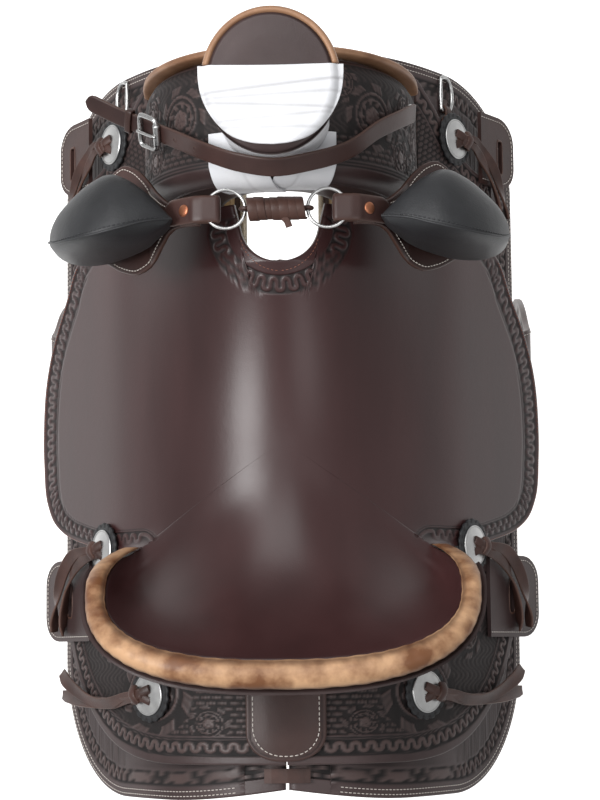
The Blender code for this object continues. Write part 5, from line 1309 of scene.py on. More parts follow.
# Bucking rolls on their backings
bucking = {
    "backing": 0.0035, "innerX": 0.07, "stations": 84, "section": 44, "frontBulge": 1.35, "rearBulge": 1.45,
    "front": ((0.0905, 0.125), (0.102, 0.1375), (0.118, 0.154), (0.134, 0.166), (0.144, 0.1705),
              (0.152, 0.1705), (0.162, 0.1665), (0.183, 0.152), (0.1975, 0.137), (0.203, 0.126), (0.2045, 0.116)),
    "rear": ((0.0905, 0.125), (0.097, 0.118), (0.105, 0.113), (0.12, 0.1055), (0.136, 0.1015), (0.154, 0.0995),
             (0.174, 0.1), (0.189, 0.1025), (0.199, 0.107), (0.2035, 0.112), (0.2045, 0.116)),
    "seam": ((0.0905, 0.125), (0.114, 0.1205), (0.138, 0.113), (0.161, 0.1085), (0.182, 0.1075), (0.197, 0.1105),
             (0.2045, 0.116)),
    "crest": ((0.0905, 0.164), (0.1, 0.1705), (0.12, 0.18), (0.14, 0.185), (0.16, 0.18), (0.177, 0.166),
              (0.191, 0.145), (0.201, 0.119), (0.2045, 0.106)),
    "edge": ((0.0905, 0.163), (0.105, 0.155), (0.125, 0.136), (0.145, 0.12), (0.168, 0.108), (0.191, 0.102),
             (0.2045, 0.105)),
    "under": ((0.158, 0.0), (0.178, -0.014), (0.194, -0.008), (0.2045, 0.004)),
}
angle = np.linspace(math.pi / 2, 0.02, 900)


def buckingLine(offset):
    # the fork cover's outer line beside the roll: x, z, normal and length run from the inner end
    x, z = forkLine(angle, fork["cover"] + arch["clearance"] + offset)
    keep = x >= bucking["innerX"]
    x, z = x[keep], z[keep]
    run = runAlong(joined(x, z))
    nx, nz = -np.gradient(z), np.gradient(x)
    size = np.hypot(nx, nz)
    return np.array([x, z, nx / size, nz / size]), run


def tableAt(table, x):
    curve = smoothPath(table, 500)
    return np.interp(x, curve[:, 0], curve[:, 1])


backing = {
    "front": ((0.066, 0.1445), (0.093, 0.145), (0.106, 0.158), (0.119, 0.177), (0.13, 0.188), (0.141, 0.193),
              (0.15, 0.1895), (0.158, 0.178)),
    "rear": ((0.066, 0.1195), (0.093, 0.119), (0.102, 0.108), (0.109, 0.0985), (0.118, 0.0925), (0.127, 0.09),
             (0.14, 0.094), (0.158, 0.106)),
    "leave": 0.113, "slope": 0.95, "thick": 0.0034, "stitchInset": 0.0036,
}
backLine, _ = buckingLine(arch["clearance"])


def backingHeight(x):
    # on the fork until it leaves it, and then out at a steady slope under the roll
    leaveZ = float(np.interp(backing["leave"], backLine[0], backLine[1]))
    onFork = np.interp(x, backLine[0][backLine[0] < 0.1268], backLine[1][backLine[0] < 0.1268])
    return np.where(x < backing["leave"], onFork, leaveZ - (x - backing["leave"]) * backing["slope"]
                    - 3.0 * (x - backing["leave"]) ** 2)


frontLine, rearLine = smoothPath(backing["front"], 200), smoothPath(backing["rear"], 200)
start, stop = 0.0665, backing["front"][-1][0]
across = start + edgeSpaced(stop - start, 0.0016)
y1, y0 = np.interp(across, frontLine[:, 0], frontLine[:, 1]), np.interp(across, rearLine[:, 0], rearLine[:, 1])
share = alongShares(0.09, 0.0016)[None, :]
x, y = spread(across, y0, y1, share)
line = np.concatenate([joined(across, y0), joined(across, y1)[::-1]])
away, _ = edgeField(x, y, line, closed=True)
tilt = np.gradient(backingHeight(across), across)
normalX, normalZ = (-tilt / np.hypot(1, tilt))[:, None], (1 / np.hypot(1, tilt))[:, None]
burnish = rounded(away, 0.0014) * 0.0014
for side, word in sides:
    n = backing["thick"] - burnish
    top = joined(side * (x + n * normalX), y, backingHeight(x) + n * normalZ)
    bottom = joined(side * x, y, backingHeight(x))
    top, bottom, rim = mirrored(side, top, bottom, rounded(away, 0.0016))
    shell(f"rollBacking{word}", top, bottom, "smooth", {"rim": rim}, node=f"roll_backing_{word.lower()}")
    for label, line, sign in (("Front", frontLine, -1.0), ("Rear", rearLine, 1.0)):
        some = line[(line[:, 0] > 0.094) & (line[:, 0] < 0.152)]
        ahead = unit(np.gradient(some, axis=0))
        inside = some + joined(-ahead[:, 1], ahead[:, 0]) * sign * backing["stitchInset"]
        sx, sz = np.interp(inside[:, 0], across, normalX[:, 0]), np.interp(inside[:, 0], across, normalZ[:, 0])
        n = backing["thick"] + 0.0002
        points = joined(side * (inside[:, 0] + n * sx), inside[:, 1], backingHeight(inside[:, 0]) + n * sz)
        stitchRow(f"backingStitch{label}{word}", points, joined(side * sx, 0.0, sz), pitch=0.004,
                  length=0.0028, radius=0.00048)
# the roll is a pillow between its front and rear lines as seen from above: crest over the seam, flat underneath
span = bucking["front"][-1][0] - bucking["front"][0][0]
share = (1.0 - np.cos(np.linspace(0.0, math.pi, bucking["stations"]))) / 2
xs = bucking["front"][0][0] + span * (0.004 + 0.992 * share)
keys = ("front", "rear", "seam", "crest", "edge")
frontY, rearY, seamY, crestZ, edgeZ = [tableAt(bucking[key], xs)[:, None] for key in keys]
seatZ = backingHeight(np.minimum(xs, stop)) + backing["thick"] + 0.0008
underZ = (seatZ + np.interp(xs, *zip(*bucking["under"])) * (xs > stop))[:, None]
underZ = np.minimum(underZ, edgeZ - 0.0006)
edgeZ, crestZ = np.maximum(edgeZ, underZ + 0.0004), np.maximum(crestZ, underZ + 0.001)
turn = np.linspace(0.0, math.pi / 2, bucking["section"])[None]
arcZ = edgeZ + (crestZ - edgeZ) * np.sin(turn) ** 0.72
frontArc = (seamY + (frontY - seamY) * np.cos(turn) ** bucking["frontBulge"], arcZ)
rearArc = (seamY + (rearY - seamY) * np.cos(turn) ** bucking["rearBulge"], arcZ)
lowTurn = np.linspace(0.0, math.pi, 18)[None, 1:-1]
middle = (frontY + rearY) / 2
lowArc = (middle - (frontY - rearY) / 2 * powered(np.cos(lowTurn), 0.6),
          edgeZ - (edgeZ - underZ) * np.sin(lowTurn) ** 0.5)
seamIndex = bucking["section"] - 1
for side, word in sides:
    y, z = (np.concatenate([frontArc[k], rearArc[k][:, ::-1][:, 1:], lowArc[k]], axis=1) for k in (0, 1))
    rings = joined(np.broadcast_to(side * xs[:, None], y.shape), y, z)
    rows, columns = rings.shape[:2]
    atSeam = np.exp(-((np.arange(columns) - seamIndex) / 0.9) ** 2)[None] * np.ones((rows, 1))
    rings[..., 2] -= 0.0006 * atSeam
    item = tube(f"buckingRoll{word}", rings, "black", {"cut": atSeam * 0.7}, tips=0.0,
                node=f"bucking_roll_{word.lower()}")
    crest = rings[2:-2, seamIndex]
    _, across, out = frameAlong(crest, (0.0, 1.0, 0.3))
    out *= np.sign(out[:, 2:])
    carried(f"rollWelt{word}", crest + out * 0.0006 - across * 0.0004, roundSection(0.0011, 10), across, out, "black",
            marks={"rim": 0.4})
    for shift, label in ((-3, "Front"), (2, "Rear")):
        line = rings[3:-3, seamIndex + shift]
        stitchRow(f"rollStitch{label}{word}", line, line - rings[3:-3].mean(1), radius=0.00055, finish="black")
print("bucking rolls ready")


# Tabs with their rivets, rings, and the link wound with lace
tab = {
    "ringX": 0.044, "ringY": 0.132, "rise": 0.0035, "ringRadius": 0.017, "wire": 0.0015, "half": 0.0118,
    "thick": 0.0024, "endX": 0.092, "lowEndX": 0.0865, "rivetX": 0.0795, "rivetRadius": 0.0054,
}
fold = tab["wire"] + 0.0006 + tab["thick"] / 2
tabLine, _ = buckingLine(2 * arch["clearance"] + bucking["backing"] + tab["thick"] / 2 + fold)
level = float(np.interp(bucking["innerX"] + 0.002, tabLine[0], tabLine[1])) + tab["rise"]
foldX = tab["ringX"] + math.sqrt(tab["ringRadius"] ** 2 - 0.0125 ** 2) - tab["wire"] - 0.0012


def tabMiddle(x):
    # height of the fold's middle line: on the backing, then level towards the ring
    onBacking = np.interp(x, tabLine[0], tabLine[1])
    share = soft(bucking["innerX"] - 0.007, bucking["innerX"] + 0.004, x)
    return level + (onBacking - level) * share


xs = np.linspace(tab["endX"] + 0.004, foldX, 90)
upper = joined(xs, tabMiddle(xs))
slope = np.gradient(upper[:, 1], upper[:, 0])
away = joined(-slope, 1.0) / np.hypot(slope, 1.0)[:, None]
turn = np.linspace(math.pi / 2, 3 * math.pi / 2, 15)[1:-1]
turned = joined(foldX + fold * np.cos(turn), level + fold * np.sin(turn))
low = (upper - away * fold)[upper[:, 0] < tab["lowEndX"]][::-1]
path = np.concatenate([upper + away * fold, turned, low])
run = runAlong(path)
width = np.where(run < tab["half"], np.sqrt(np.maximum(tab["half"] ** 2 - (tab["half"] - run) ** 2, 1e-7)), tab["half"])
ahead = unit(np.gradient(path, axis=0))
normal = joined(ahead[:, 1], -ahead[:, 0])
across = np.linspace(-1.0, 1.0, 17)
bow = (1.0 - np.abs(across) ** 8) * tab["thick"] / 2 + 0.0002
ringTurn = fullTurn(96)
for side, word in sides:
    sheets = []
    for sign in (1.0, -1.0):
        spot = path[:, None] + normal[:, None] * (sign * bow)[None, :, None]
        y = tab["ringY"] + width[:, None] * across[None]
        sheets.append(joined(side * spot[..., 0], y, spot[..., 1]))
    shell(f"ringTab{word}", *mirrored(side, *sheets), "smooth",
          {"rim": np.abs(across)[None] ** 10 * np.ones((len(path), 1))}, skip=2,
          node=f"ring_tab_{word.lower()}")
    k = nearest(path[:90, 0], tab["rivetX"])
    out = np.array([side * away[k, 0], 0.0, away[k, 1]])
    flat = np.array([side * away[k, 1], 0.0, -away[k, 0]])
    centre = np.array([side * path[k, 0], tab["ringY"], path[k, 1]]) + out * tab["thick"] * 0.5
    profile = [(0.02, -0.0008), (1.0, -0.0008), (1.0, 0.0004), (0.93, 0.001), (0.7, 0.0014), (0.4, 0.0016),
               (0.02, 0.0017)]
    lathe(f"rivet{word}", profile, small(centre, flat, np.array([0.0, 1.0, 0.0]), out, tab["rivetRadius"]), "copper",
          columns=36, marks={"cut": [0, 0, 0.3, 0, 0, 0, 0]})
    ringPath = joined(side * tab["ringX"] + tab["ringRadius"] * np.cos(ringTurn),
                      tab["ringY"] + tab["ringRadius"] * np.sin(ringTurn), level)
    outAt = joined(np.cos(ringTurn), np.sin(ringTurn), 0.0)
    carried(f"rollRing{word}", ringPath, roundSection(tab["wire"]), outAt, [0.0, 0.0, 1.0], "steel", closed=True,
            node=f"roll_ring_{word.lower()}")

lace = {"turns": 6.6, "radius": 0.0088, "width": 0.0086, "thick": 0.0017, "points": 40}
wireX = tab["ringX"] - tab["ringRadius"]
half = wireX - tab["wire"] - 0.003
count = int(lace["turns"] * lace["points"])
t = np.linspace(0.0, 2 * math.pi * lace["turns"], count)
bulge = 1.0 + 0.05 * np.sin(t / lace["turns"] * 1.7 + 0.5) + 0.03 * np.sin(t * 0.37)
x = -half + 2 * half * t / t[-1]
r = lace["radius"] * bulge + 0.0008 * ((t / (2 * math.pi)) % 1.0)
path = joined(x, tab["ringY"] + r * np.cos(t), level + r * np.sin(t))
out = joined(0.0, np.cos(t), np.sin(t))
ahead, _, _ = frameAlong(path, (1.0, 0.0, 0.0))
wide = np.cross(out, ahead)
carried("laceLink", path, strapSection(lace["width"], lace["thick"]), wide, out, "string",
        marks={"rim": 0.3}, node="lace_link")
tail = smoothPath(((0.006, tab["ringY"] - 0.0085, level + 0.004), (0.009, tab["ringY"] - 0.0115, level + 0.003),
                   (0.011, tab["ringY"] - 0.0165, level + 0.001)), 16)
_, across, face = frameAlong(tail, (1.0, 0.0, 0.2))
carried("laceTail", tail, strapSection(0.006, 0.0016), across, face, "string", marks={"rim": 0.3})
print("rings and link ready")


def ribbon(name, path, wide, face, half, thick, finish, columns=13, cup=0.0, **extra):
    # a flat leather along a path, its half width given at each point, its long edges rounded
    across = np.sin(np.linspace(-math.pi / 2, math.pi / 2, columns))[None]
    half = np.broadcast_to(np.asarray(half, float), len(path))[:, None]
    fall = 1.0 - np.sqrt(np.maximum(1.0 - np.abs(across) ** 12, 0.0))
    sheets = []
    for sign in (1.0, -1.0):
        lift = sign * thick / 2 * (1.0 - 0.55 * fall) + cup * half * across ** 2
        sheets.append(path[:, None] + wide[:, None] * (half * across)[..., None] + face[:, None] * lift[..., None])
    return shell(name, sheets[0], sheets[1], finish, {"rim": fall}, skip=2, **extra)


def facing(path, lean, hint):
    # width and face directions along a path, the face turned to the hint's side
    _, wide, face = frameAlong(path, lean)
    turn = np.sign((face * np.asarray(hint, float)).sum(1, keepdims=True))
    return wide, face * np.where(turn == 0, 1.0, turn)


# Night latch strap with its roller buckle, keeper loop and end fitting
strap = {
    "shares": (-1.41, -1.148, -0.918, -0.697, -0.492, -0.246, 0.0, 0.246, 0.492, 0.738, 0.918, 1.0),
    "route": ((0.246, 0.098), (0.228, 0.108), (0.213, 0.122), (0.196, 0.15), (0.18, 0.176), (0.1665, 0.193),
              (0.161, 0.198), (0.1665, 0.193), (0.178, 0.178), (0.204, 0.148), (0.222, 0.113), (0.232, 0.088)),
    "frameMiddle": ((0.162, 0.192), (0.155, 0.196), (0.162, 0.192)),
    "width": 0.017, "thick": 0.0035, "buckleShare": -0.918, "buckleHalf": (0.011, 0.0145), "wire": 0.0022,
    "tongue": 0.0014, "holes": (-0.088, -0.068), "lean": (0.0, 0.8, 0.6),
    "loop": {"at": -0.1315, "gap": 0.0016, "width": 0.0065, "thick": 0.0022}, "square": 0.34,
}


def strapLine(route, count):
    return smoothPath([(share * fork["half"], *place) for share, place in zip(strap["shares"], route)], count)


line = strapLine(strap["route"], 190)
wide, face = facing(line, strap["lean"], (0.0, 0.0, 1.0))
run = runAlong(line)
left = np.clip((run[-1] - run) / 0.002, 0.0, 1.0)
tailEnd = np.sqrt(np.clip(1.0 - (1.0 - np.clip(run / (strap["width"] / 2), 0.0, 1.0)) ** 2, 0.02, 1.0))
half = strap["width"] / 2 * tailEnd * (0.93 + 0.07 * left)
ribbon("grabStrap", line, wide, face, half, strap["thick"], "smooth", columns=17, node="grab_strap")


ahead, _, _ = frameAlong(line, strap["lean"])
# each hole is a shallow cup: a burnished ring, and a centre painted near black as painted shade in the opening
for k, at in enumerate(strap["holes"]):
    near = nearest(line[:, 0], at)
    place = line[near] + face[near] * (strap["thick"] / 2 - 0.0002)
    lathe(f"strapHole{k}",
          [(0.02, -0.0006), (1.0, -0.0006), (1.0, 0.0003), (0.8, 0.0005), (0.7, 0.0001), (0.02, -0.0002)],
          small(place, ahead[near], wide[near], face[near], 0.0024), "smooth", columns=24,
          marks={"cut": [0, 0, 0, 0, 1.0, 1.3], "rim": [0, 0, 0.6, 0.6, 0, 0]})

# the buckle sits on the frame's strap, whose middle runs a little farther back
cadLine = strapLine(strap["route"][:5] + strap["frameMiddle"] + strap["route"][8:], 34)
cadAhead, cadWide, _ = frameAlong(cadLine, strap["lean"])
_, cadFace = facing(cadLine, strap["lean"], (0.0, 0.0, 1.0))
near = nearest(cadLine[:, 0], strap["buckleShare"] * fork["half"])
along, cross, up = cadAhead[near], cadWide[near], cadFace[near]
middle = cadLine[near] + up * (strap["thick"] / 2 + 0.0016 + strap["wire"])
a = strap["buckleHalf"][0]
turn = fullTurn(96)
path = (middle + along * (a * powered(np.cos(turn), strap["square"]))[:, None]
        + cross * (strap["buckleHalf"][1] * powered(np.sin(turn), strap["square"]))[:, None])
out = unit(path - middle)
carried("strapBuckle", path, roundSection(strap["wire"], 14), out, up, "steel", closed=True, node="strap_buckle")
sleeve = middle + along * a + cross * np.linspace(-0.0098, 0.0098, 14)[:, None]
carried("buckleRoller", sleeve, roundSection(0.0031, 20), along, up, "steel")
hinge = middle - along * a + up * (strap["wire"] + strap["tongue"] + arch["clearance"])
reach = np.linspace(0.0, 1.0, 30)
pin = hinge + along * (reach * 2.24 * a)[:, None] + up * (0.0006 * np.sin(reach * math.pi))[:, None]
size = np.interp(reach, (0.0, 0.04, 0.12, 0.9, 1.0), (0.6, 1.15, 1.0, 0.9, 0.45))
carried("buckleTongue", pin, roundSection(strap["tongue"], 14), cross, up, "steel", size=size, body="buckle_tongue",
        node="buckle_tongue")
# a keeper: a band that goes once round the strap
loop = strap["loop"]
near = nearest(line[:, 0], loop["at"])
turn = fullTurn(72)
path = (line[near] + wide[near] * ((strap["width"] / 2 + loop["gap"]) * powered(np.cos(turn), 0.35))[:, None]
        + face[near] * ((strap["thick"] / 2 + loop["gap"]) * powered(np.sin(turn), 0.35))[:, None])
carried("strapKeeper", path, strapSection(loop["width"], loop["thick"]), ahead[near], unit(path - line[near]), "smooth",
        closed=True, marks={"rim": 0.2})
place = line[-6] - face[-6] * (strap["thick"] / 2 + 0.0011)
lathe("strapStud", [(0.02, -0.0008), (1.0, -0.0008), (1.0, 0.0004), (0.85, 0.0008), (0.02, 0.001)],
      small(place + ahead[-6] * 0.006, ahead[-6], wide[-6], face[-6], 0.0085), "steel", columns=40,
      marks={"cut": [0, 0, 0, 0.3, 0]})
print("night latch ready")


# Conchos on scalloped rosettes, each with a knotted pair of saddle strings
concho = {
    "radius": 0.0195, "rosette": 0.0258, "rosetteThick": 0.003, "stand": 0.0006, "cornerStand": 0.0016,
    "scallops": 18, "string": 0.0026, "knot": (0.0042, 0.0028),
    "places": {"front": (0.163, 0.24), "corner": (0.173, -0.15), "rear": (0.125, -0.286)},
}
# each strand: half width, and its way from the knot as (down the side, forward, above the jockey)
strands = {
    "front": ((0.0052, ((0.004, 0.0, 0.011), (0.018, 0.003, 0.0125), (0.034, -0.003, 0.0105), (0.056, -0.016, 0.01),
                        (0.074, -0.04, 0.009), (0.088, -0.066, 0.008))),
              (0.005, ((0.002, -0.003, 0.0105), (0.018, -0.006, 0.0115), (0.032, -0.012, 0.009), (0.05, -0.026, 0.0085),
                        (0.066, -0.046, 0.0085), (0.08, -0.07, 0.007)))),
    "corner": ((0.0065, ((0.004, 0.0, 0.011), (0.02, 0.001, 0.014), (0.042, -0.002, 0.015), (0.062, -0.014, 0.014),
                         (0.078, -0.034, 0.013), (0.088, -0.06, 0.012), (0.092, -0.078, 0.011))),
               (0.0065, ((0.002, -0.004, 0.01), (0.018, -0.008, 0.0115), (0.04, -0.014, 0.011), (0.058, -0.028, 0.0105),
                         (0.07, -0.048, 0.01), (0.078, -0.078, 0.009)))),
    "rear": ((0.0062, ((0.003, 0.001, 0.0105), (0.022, 0.0, 0.0085), (0.05, -0.006, 0.0065), (0.085, -0.006, 0.0065),
                       (0.118, 0.002, 0.008), (0.142, 0.012, 0.008), (0.152, 0.018, 0.006))),
             (0.006, ((0.002, -0.003, 0.0095), (0.022, -0.006, 0.0075), (0.05, -0.01, 0.004), (0.085, -0.009, 0.0035),
                       (0.116, -0.006, 0.005), (0.14, -0.002, 0.0045), (0.156, 0.0, 0.003)))),
}
under = [(0.02, 0.0), (0.5, 0.0), (0.96, 0.0), (0.985, 0.0006), (0.985, 0.0011)]
profile = under + [(s, 0.0012 + 0.0018 * (1.0 - s ** 2) + (0.0005 if 0.9 < s < 0.97 else 0.0)) for s in
                   (0.97, 0.955, 0.94, 0.925, 0.91, 0.895, 0.88, 0.84, 0.8, 0.74, 0.68, 0.62, 0.56, 0.5, 0.44, 0.38,
                    0.32, 0.26, 0.2, 0.14, 0.08, 0.02)]
for side, word in sides:
    for label, (x, y) in concho["places"].items():
        u = float(archU(x, jockeyOut))
        stand = concho["cornerStand"] if label == "corner" else concho["stand"]
        centre = onArch(u * side, y, jockeyOut + stand)
        out = archNormal(np.array(u * side))
        down = np.array([side * out[2], 0.0, -side * out[0]])
        forward = np.array([0.0, 1.0, 0.0])
        turn = fullTurn(144)
        petal = 1.0 - 0.055 * (1.0 - np.abs(np.sin(concho["scallops"] / 2 * turn)))
        shape = [(0.45, 0.0), (0.97, 0.0), (1.0, 0.0006), (1.0, 0.0022), (0.97, 0.003), (0.9, 0.0026), (0.8, 0.003),
                 (0.45, 0.003)]
        rings = []
        for share, height in shape:
            r = concho["rosette"] * (share * petal if share > 0.85 else share * np.ones_like(turn))
            spokes = down * (r * np.cos(turn))[:, None] + forward * (r * np.sin(turn))[:, None]
            rings.append(centre + spokes + out * height)
        dots = 1.0 - np.abs(np.sin(concho["scallops"] / 2 * turn))
        mark = np.outer((0, 0, 0, 0, 0.8, 1, 0, 0), dots)
        tube(f"rosette{label.capitalize()}{word}", np.array(rings), "black", {"cut": mark})
        top = centre + out * (concho["rosetteThick"] + 0.0002)
        slots = np.zeros((len(profile), 120))
        t = fullTurn(120)
        for row, (share, _) in list(enumerate(profile))[len(under):]:
            px, py = share * np.cos(t), share * np.sin(t)
            slots[row] = ((np.abs(np.abs(py - 0.02) - 0.2) < 0.075) & (np.abs(px - 0.05) < 0.3)) * 1.0
            slots[row] = np.maximum(slots[row], (0.9 < share < 0.93) * 0.35)
        lathe(f"concho{label.capitalize()}{word}", profile, small(top, down, forward, out, concho["radius"]), "silver",
              columns=120, marks={"cut": slots}, node=f"concho_{label}_{word.lower()}")
        for k, (halfWide, way) in enumerate(strands[label]):
            way = smoothPath(way, 70)
            offs = 0.0034 * (k - 0.5) * np.sin(np.linspace(0.0, 5.0, len(way)))
            path = onArch((u + way[:, 0]) * side, y + way[:, 1] + offs, jockeyOut + way[:, 2])
            twist = 0.5 * np.sin(np.linspace(0.0, 4.2 + k, len(way)) + k)
            lean = forward[None] + archNormal((u + way[:, 0]) * side) * twist[:, None]
            wideAt, faceAt = facing(path, lean, out)
            taper = halfWide * np.interp(np.linspace(0, 1, len(way)), (0.0, 0.12, 0.3, 0.93, 1.0),
                                         (0.62, 0.55, 0.9, 1.0, 0.75))
            ribbon(f"saddleString{label.capitalize()}{word}{k}", path, wideAt, faceAt, taper, concho["string"],
                   "string", cup=0.1, node=() if k else f"saddle_string_{label}_{word.lower()}")
        for k, (start, end, lift) in enumerate((((-0.0035, -0.0062), (0.016, 0.0052), 0.0076),
                                                ((-0.0035, 0.0052), (0.017, -0.0056), 0.0092),
                                                ((0.009, -0.0085), (0.0125, 0.008), 0.0115))):
            t = np.linspace(0.0, 1.0, 26)
            rise = 0.0042 * np.sin(math.pi * t)
            path = onArch((u + start[0] + (end[0] - start[0]) * t) * side, y + start[1] + (end[1] - start[1]) * t,
                          jockeyOut + stand + lift - 0.0028 + rise)
            wideAt, faceAt = facing(path, down if k == 2 else forward, out)
            ribbon(f"knot{label.capitalize()}{word}{k}", path, wideAt, faceAt, *concho["knot"], "string", cup=-0.25)
print("conchos and strings ready")


# Keepers keep their frame shape: stitched edges and burnished slots are laid on them
keeper = {
    "thick": 0.004, "corner": (0.03, 0.024), "slotHalf": (0.0052, 0.0172), "slotBead": 0.0011, "stitchInset": 0.0045,
    "front": (0.204, 0.268, 0.205, 0.276, 0.24, 0.236), "rear": (0.204, 0.3, -0.236, -0.157, 0.246, -0.196),
}
keeperHigh = jockeyOut + arch["clearance"] + keeper["thick"]
for side, word in sides:
    for label in ("front", "rear"):
        inner, outer, low, high, slotU, slotY = keeper[label]
        across = np.linspace(inner, outer, 60)
        drawn = setback(across, outer, *keeper["corner"])
        points, out = lineInside(side, across, low + drawn, high - drawn, keeper["stitchInset"],
                                 keeperHigh + 0.0002)
        stitchRow(f"keeperStitch{label.capitalize()}{word}", points, out)
        turn = fullTurn(64)
        pu = slotU + keeper["slotHalf"][0] * powered(np.cos(turn), 0.5)
        py = slotY + keeper["slotHalf"][1] * powered(np.sin(turn), 0.5)
        path = onArch(pu * side, py, keeperHigh)
        out = archNormal(pu * side)
        wideAt = squareTo(out, path - path.mean(0))
        carried(f"slotEdge{label.capitalize()}{word}", path, roundSection(keeper["slotBead"], 8, 0.6), wideAt, out,
                "string", closed=True, marks={"rim": 0.6})

# Dees that lie on the skirts in front, each held by a lace over its rear bar
dee = {"x": 0.155, "y": 0.29, "half": (0.0175, 0.013), "wire": 0.0021, "lace": 0.0045, "laceThick": 0.0026}
for side, word in sides:
    u = float(archU(dee["x"], skirtOut))
    turn = fullTurn(80)
    pu = (u + dee["half"][1] * np.clip(np.sin(turn), -0.55, 1.0)) * side
    path = onArch(pu, dee["y"] + dee["half"][0] * np.cos(turn), skirtOut + dee["wire"] + 0.0003)
    face = archNormal(pu)
    out = squareTo(face, path - path.mean(0))
    carried(f"rigDee{word}", path, roundSection(dee["wire"]), out, face, "steel", closed=True)
    t = np.linspace(-1.0, 1.0, 40)
    path = onArch(np.full_like(t, u * side), dee["y"] - dee["half"][0] + 0.013 * t,
                  skirtOut + dee["laceThick"] / 2 + 0.0002 + 2.2 * dee["wire"] * np.exp(-(t / 0.45) ** 4))
    normal = archNormal(u * side)
    wideAt, faceAt = facing(path, np.array([normal[2] * side, 0.0, -normal[0] * side]), normal)
    ribbon(f"deeLace{word}", path, wideAt, faceAt, dee["lace"], dee["laceThick"], "string")
print("keepers and dees ready")


# Fenders with their stirrup leathers
fender = {
    "pivotY": 0.025, "eye": 0.029, "bend": 0.322, "radius": 0.03, "curl": math.radians(292.0), "drop": 0.33,
    "thick": 0.006, "bolt": 0.006, "barOuter": 0.134, "hobble": 0.462,
    "hobbleHalf": (0.005, 0.0365), "hobbleBand": (0.016, 0.0026),
    "half": ((0.0, 0.029), (0.03, 0.037), (0.1, 0.042), (0.15, 0.047), (0.19, 0.06), (0.24, 0.086), (0.29, 0.102),
             (0.33, 0.106), (0.38, 0.096), (0.42, 0.068), (0.45, 0.036), (0.7, 0.03)),
}
pivotU = fender["barOuter"] + arch["clearance"] + fender["eye"]
way = np.array([math.cos(arch["slope"]), -math.sin(arch["slope"])])
start = onArch(arch["bend"], 0.0, barIn + fender["thick"] / 2)
pivot = np.array([start[0], start[2]]) + (pivotU - arch["bend"]) * way
flat = fender["bend"] - pivotU
# its middle line: flat along the bar, bent to hang, straight down, and curled round the stirrup's bolt
bendCount, dropCount, curlCount = 14, 110, 30
hang = math.pi / 2
eyeRuns = -fender["eye"] * np.cos(np.linspace(0.0, hang, 14))
flatRuns = np.concatenate([eyeRuns, np.linspace(0.0, flat, 49)[1:]])
flatSpots = pivot + way * flatRuns[:, None]
bendStep = (hang - arch["slope"]) / bendCount
bendTurns = arch["slope"] + bendStep * np.arange(1, bendCount + 1)
middle = bendTurns - bendStep / 2
bendSpots = flatSpots[-1] + fender["radius"] * bendStep * np.cumsum(joined(np.cos(middle), -np.sin(middle)), 0)
bendRuns = flatRuns[-1] + fender["radius"] * (bendTurns - arch["slope"])
drops = fender["drop"] * np.arange(1, dropCount + 1) / dropCount
dropSpots = bendSpots[-1] - joined(0.0, drops)
dropRuns = bendRuns[-1] + drops
curl = fender["bolt"] + arch["clearance"] + fender["thick"] / 2
curls = fender["curl"] * np.arange(1, curlCount + 1) / curlCount
bolt = dropSpots[-1] - np.array([curl, 0.0])
curlSpots = bolt + curl * joined(np.sin(hang + curls), np.cos(hang + curls))
spots = np.concatenate([flatSpots, bendSpots, dropSpots, curlSpots])
runs = np.concatenate([flatRuns, bendRuns, dropRuns, dropRuns[-1] + curl * curls])
heading = np.concatenate([np.full(len(flatRuns), arch["slope"]), bendTurns, np.full(dropCount, hang), hang + curls])
shape = smoothPath(fender["half"], 500)
half = np.interp(runs, shape[:, 0], shape[:, 1])
eye = np.sqrt(np.clip(fender["eye"] ** 2 - np.minimum(runs, 0.0) ** 2, 0.0, None))
half = np.where(runs < 0.0, np.maximum(eye, 0.002), half)
across = edgeSpaced(2.0, 0.025, (0.0, 0.006, 0.016, 0.03)) - 1.0
a = half[:, None] * across[None]
b = np.broadcast_to(runs[:, None], a.shape)
outline = np.concatenate([joined(half, runs), joined(-half, runs)[::-1]])
away, alongEdge = edgeField(a, b, outline, closed=True)
bodyMask = soft(0.175, 0.195, b) * (1.0 - soft(0.425, 0.445, b))
height, cut, rim = borderBand(away, alongEdge, 0.0065, 0.0115)
seamLine = groove(away, 0.0034, 0.0004) * (1.0 - bodyMask) * (b > 0.0)
burnish = rounded(away, 0.0018)
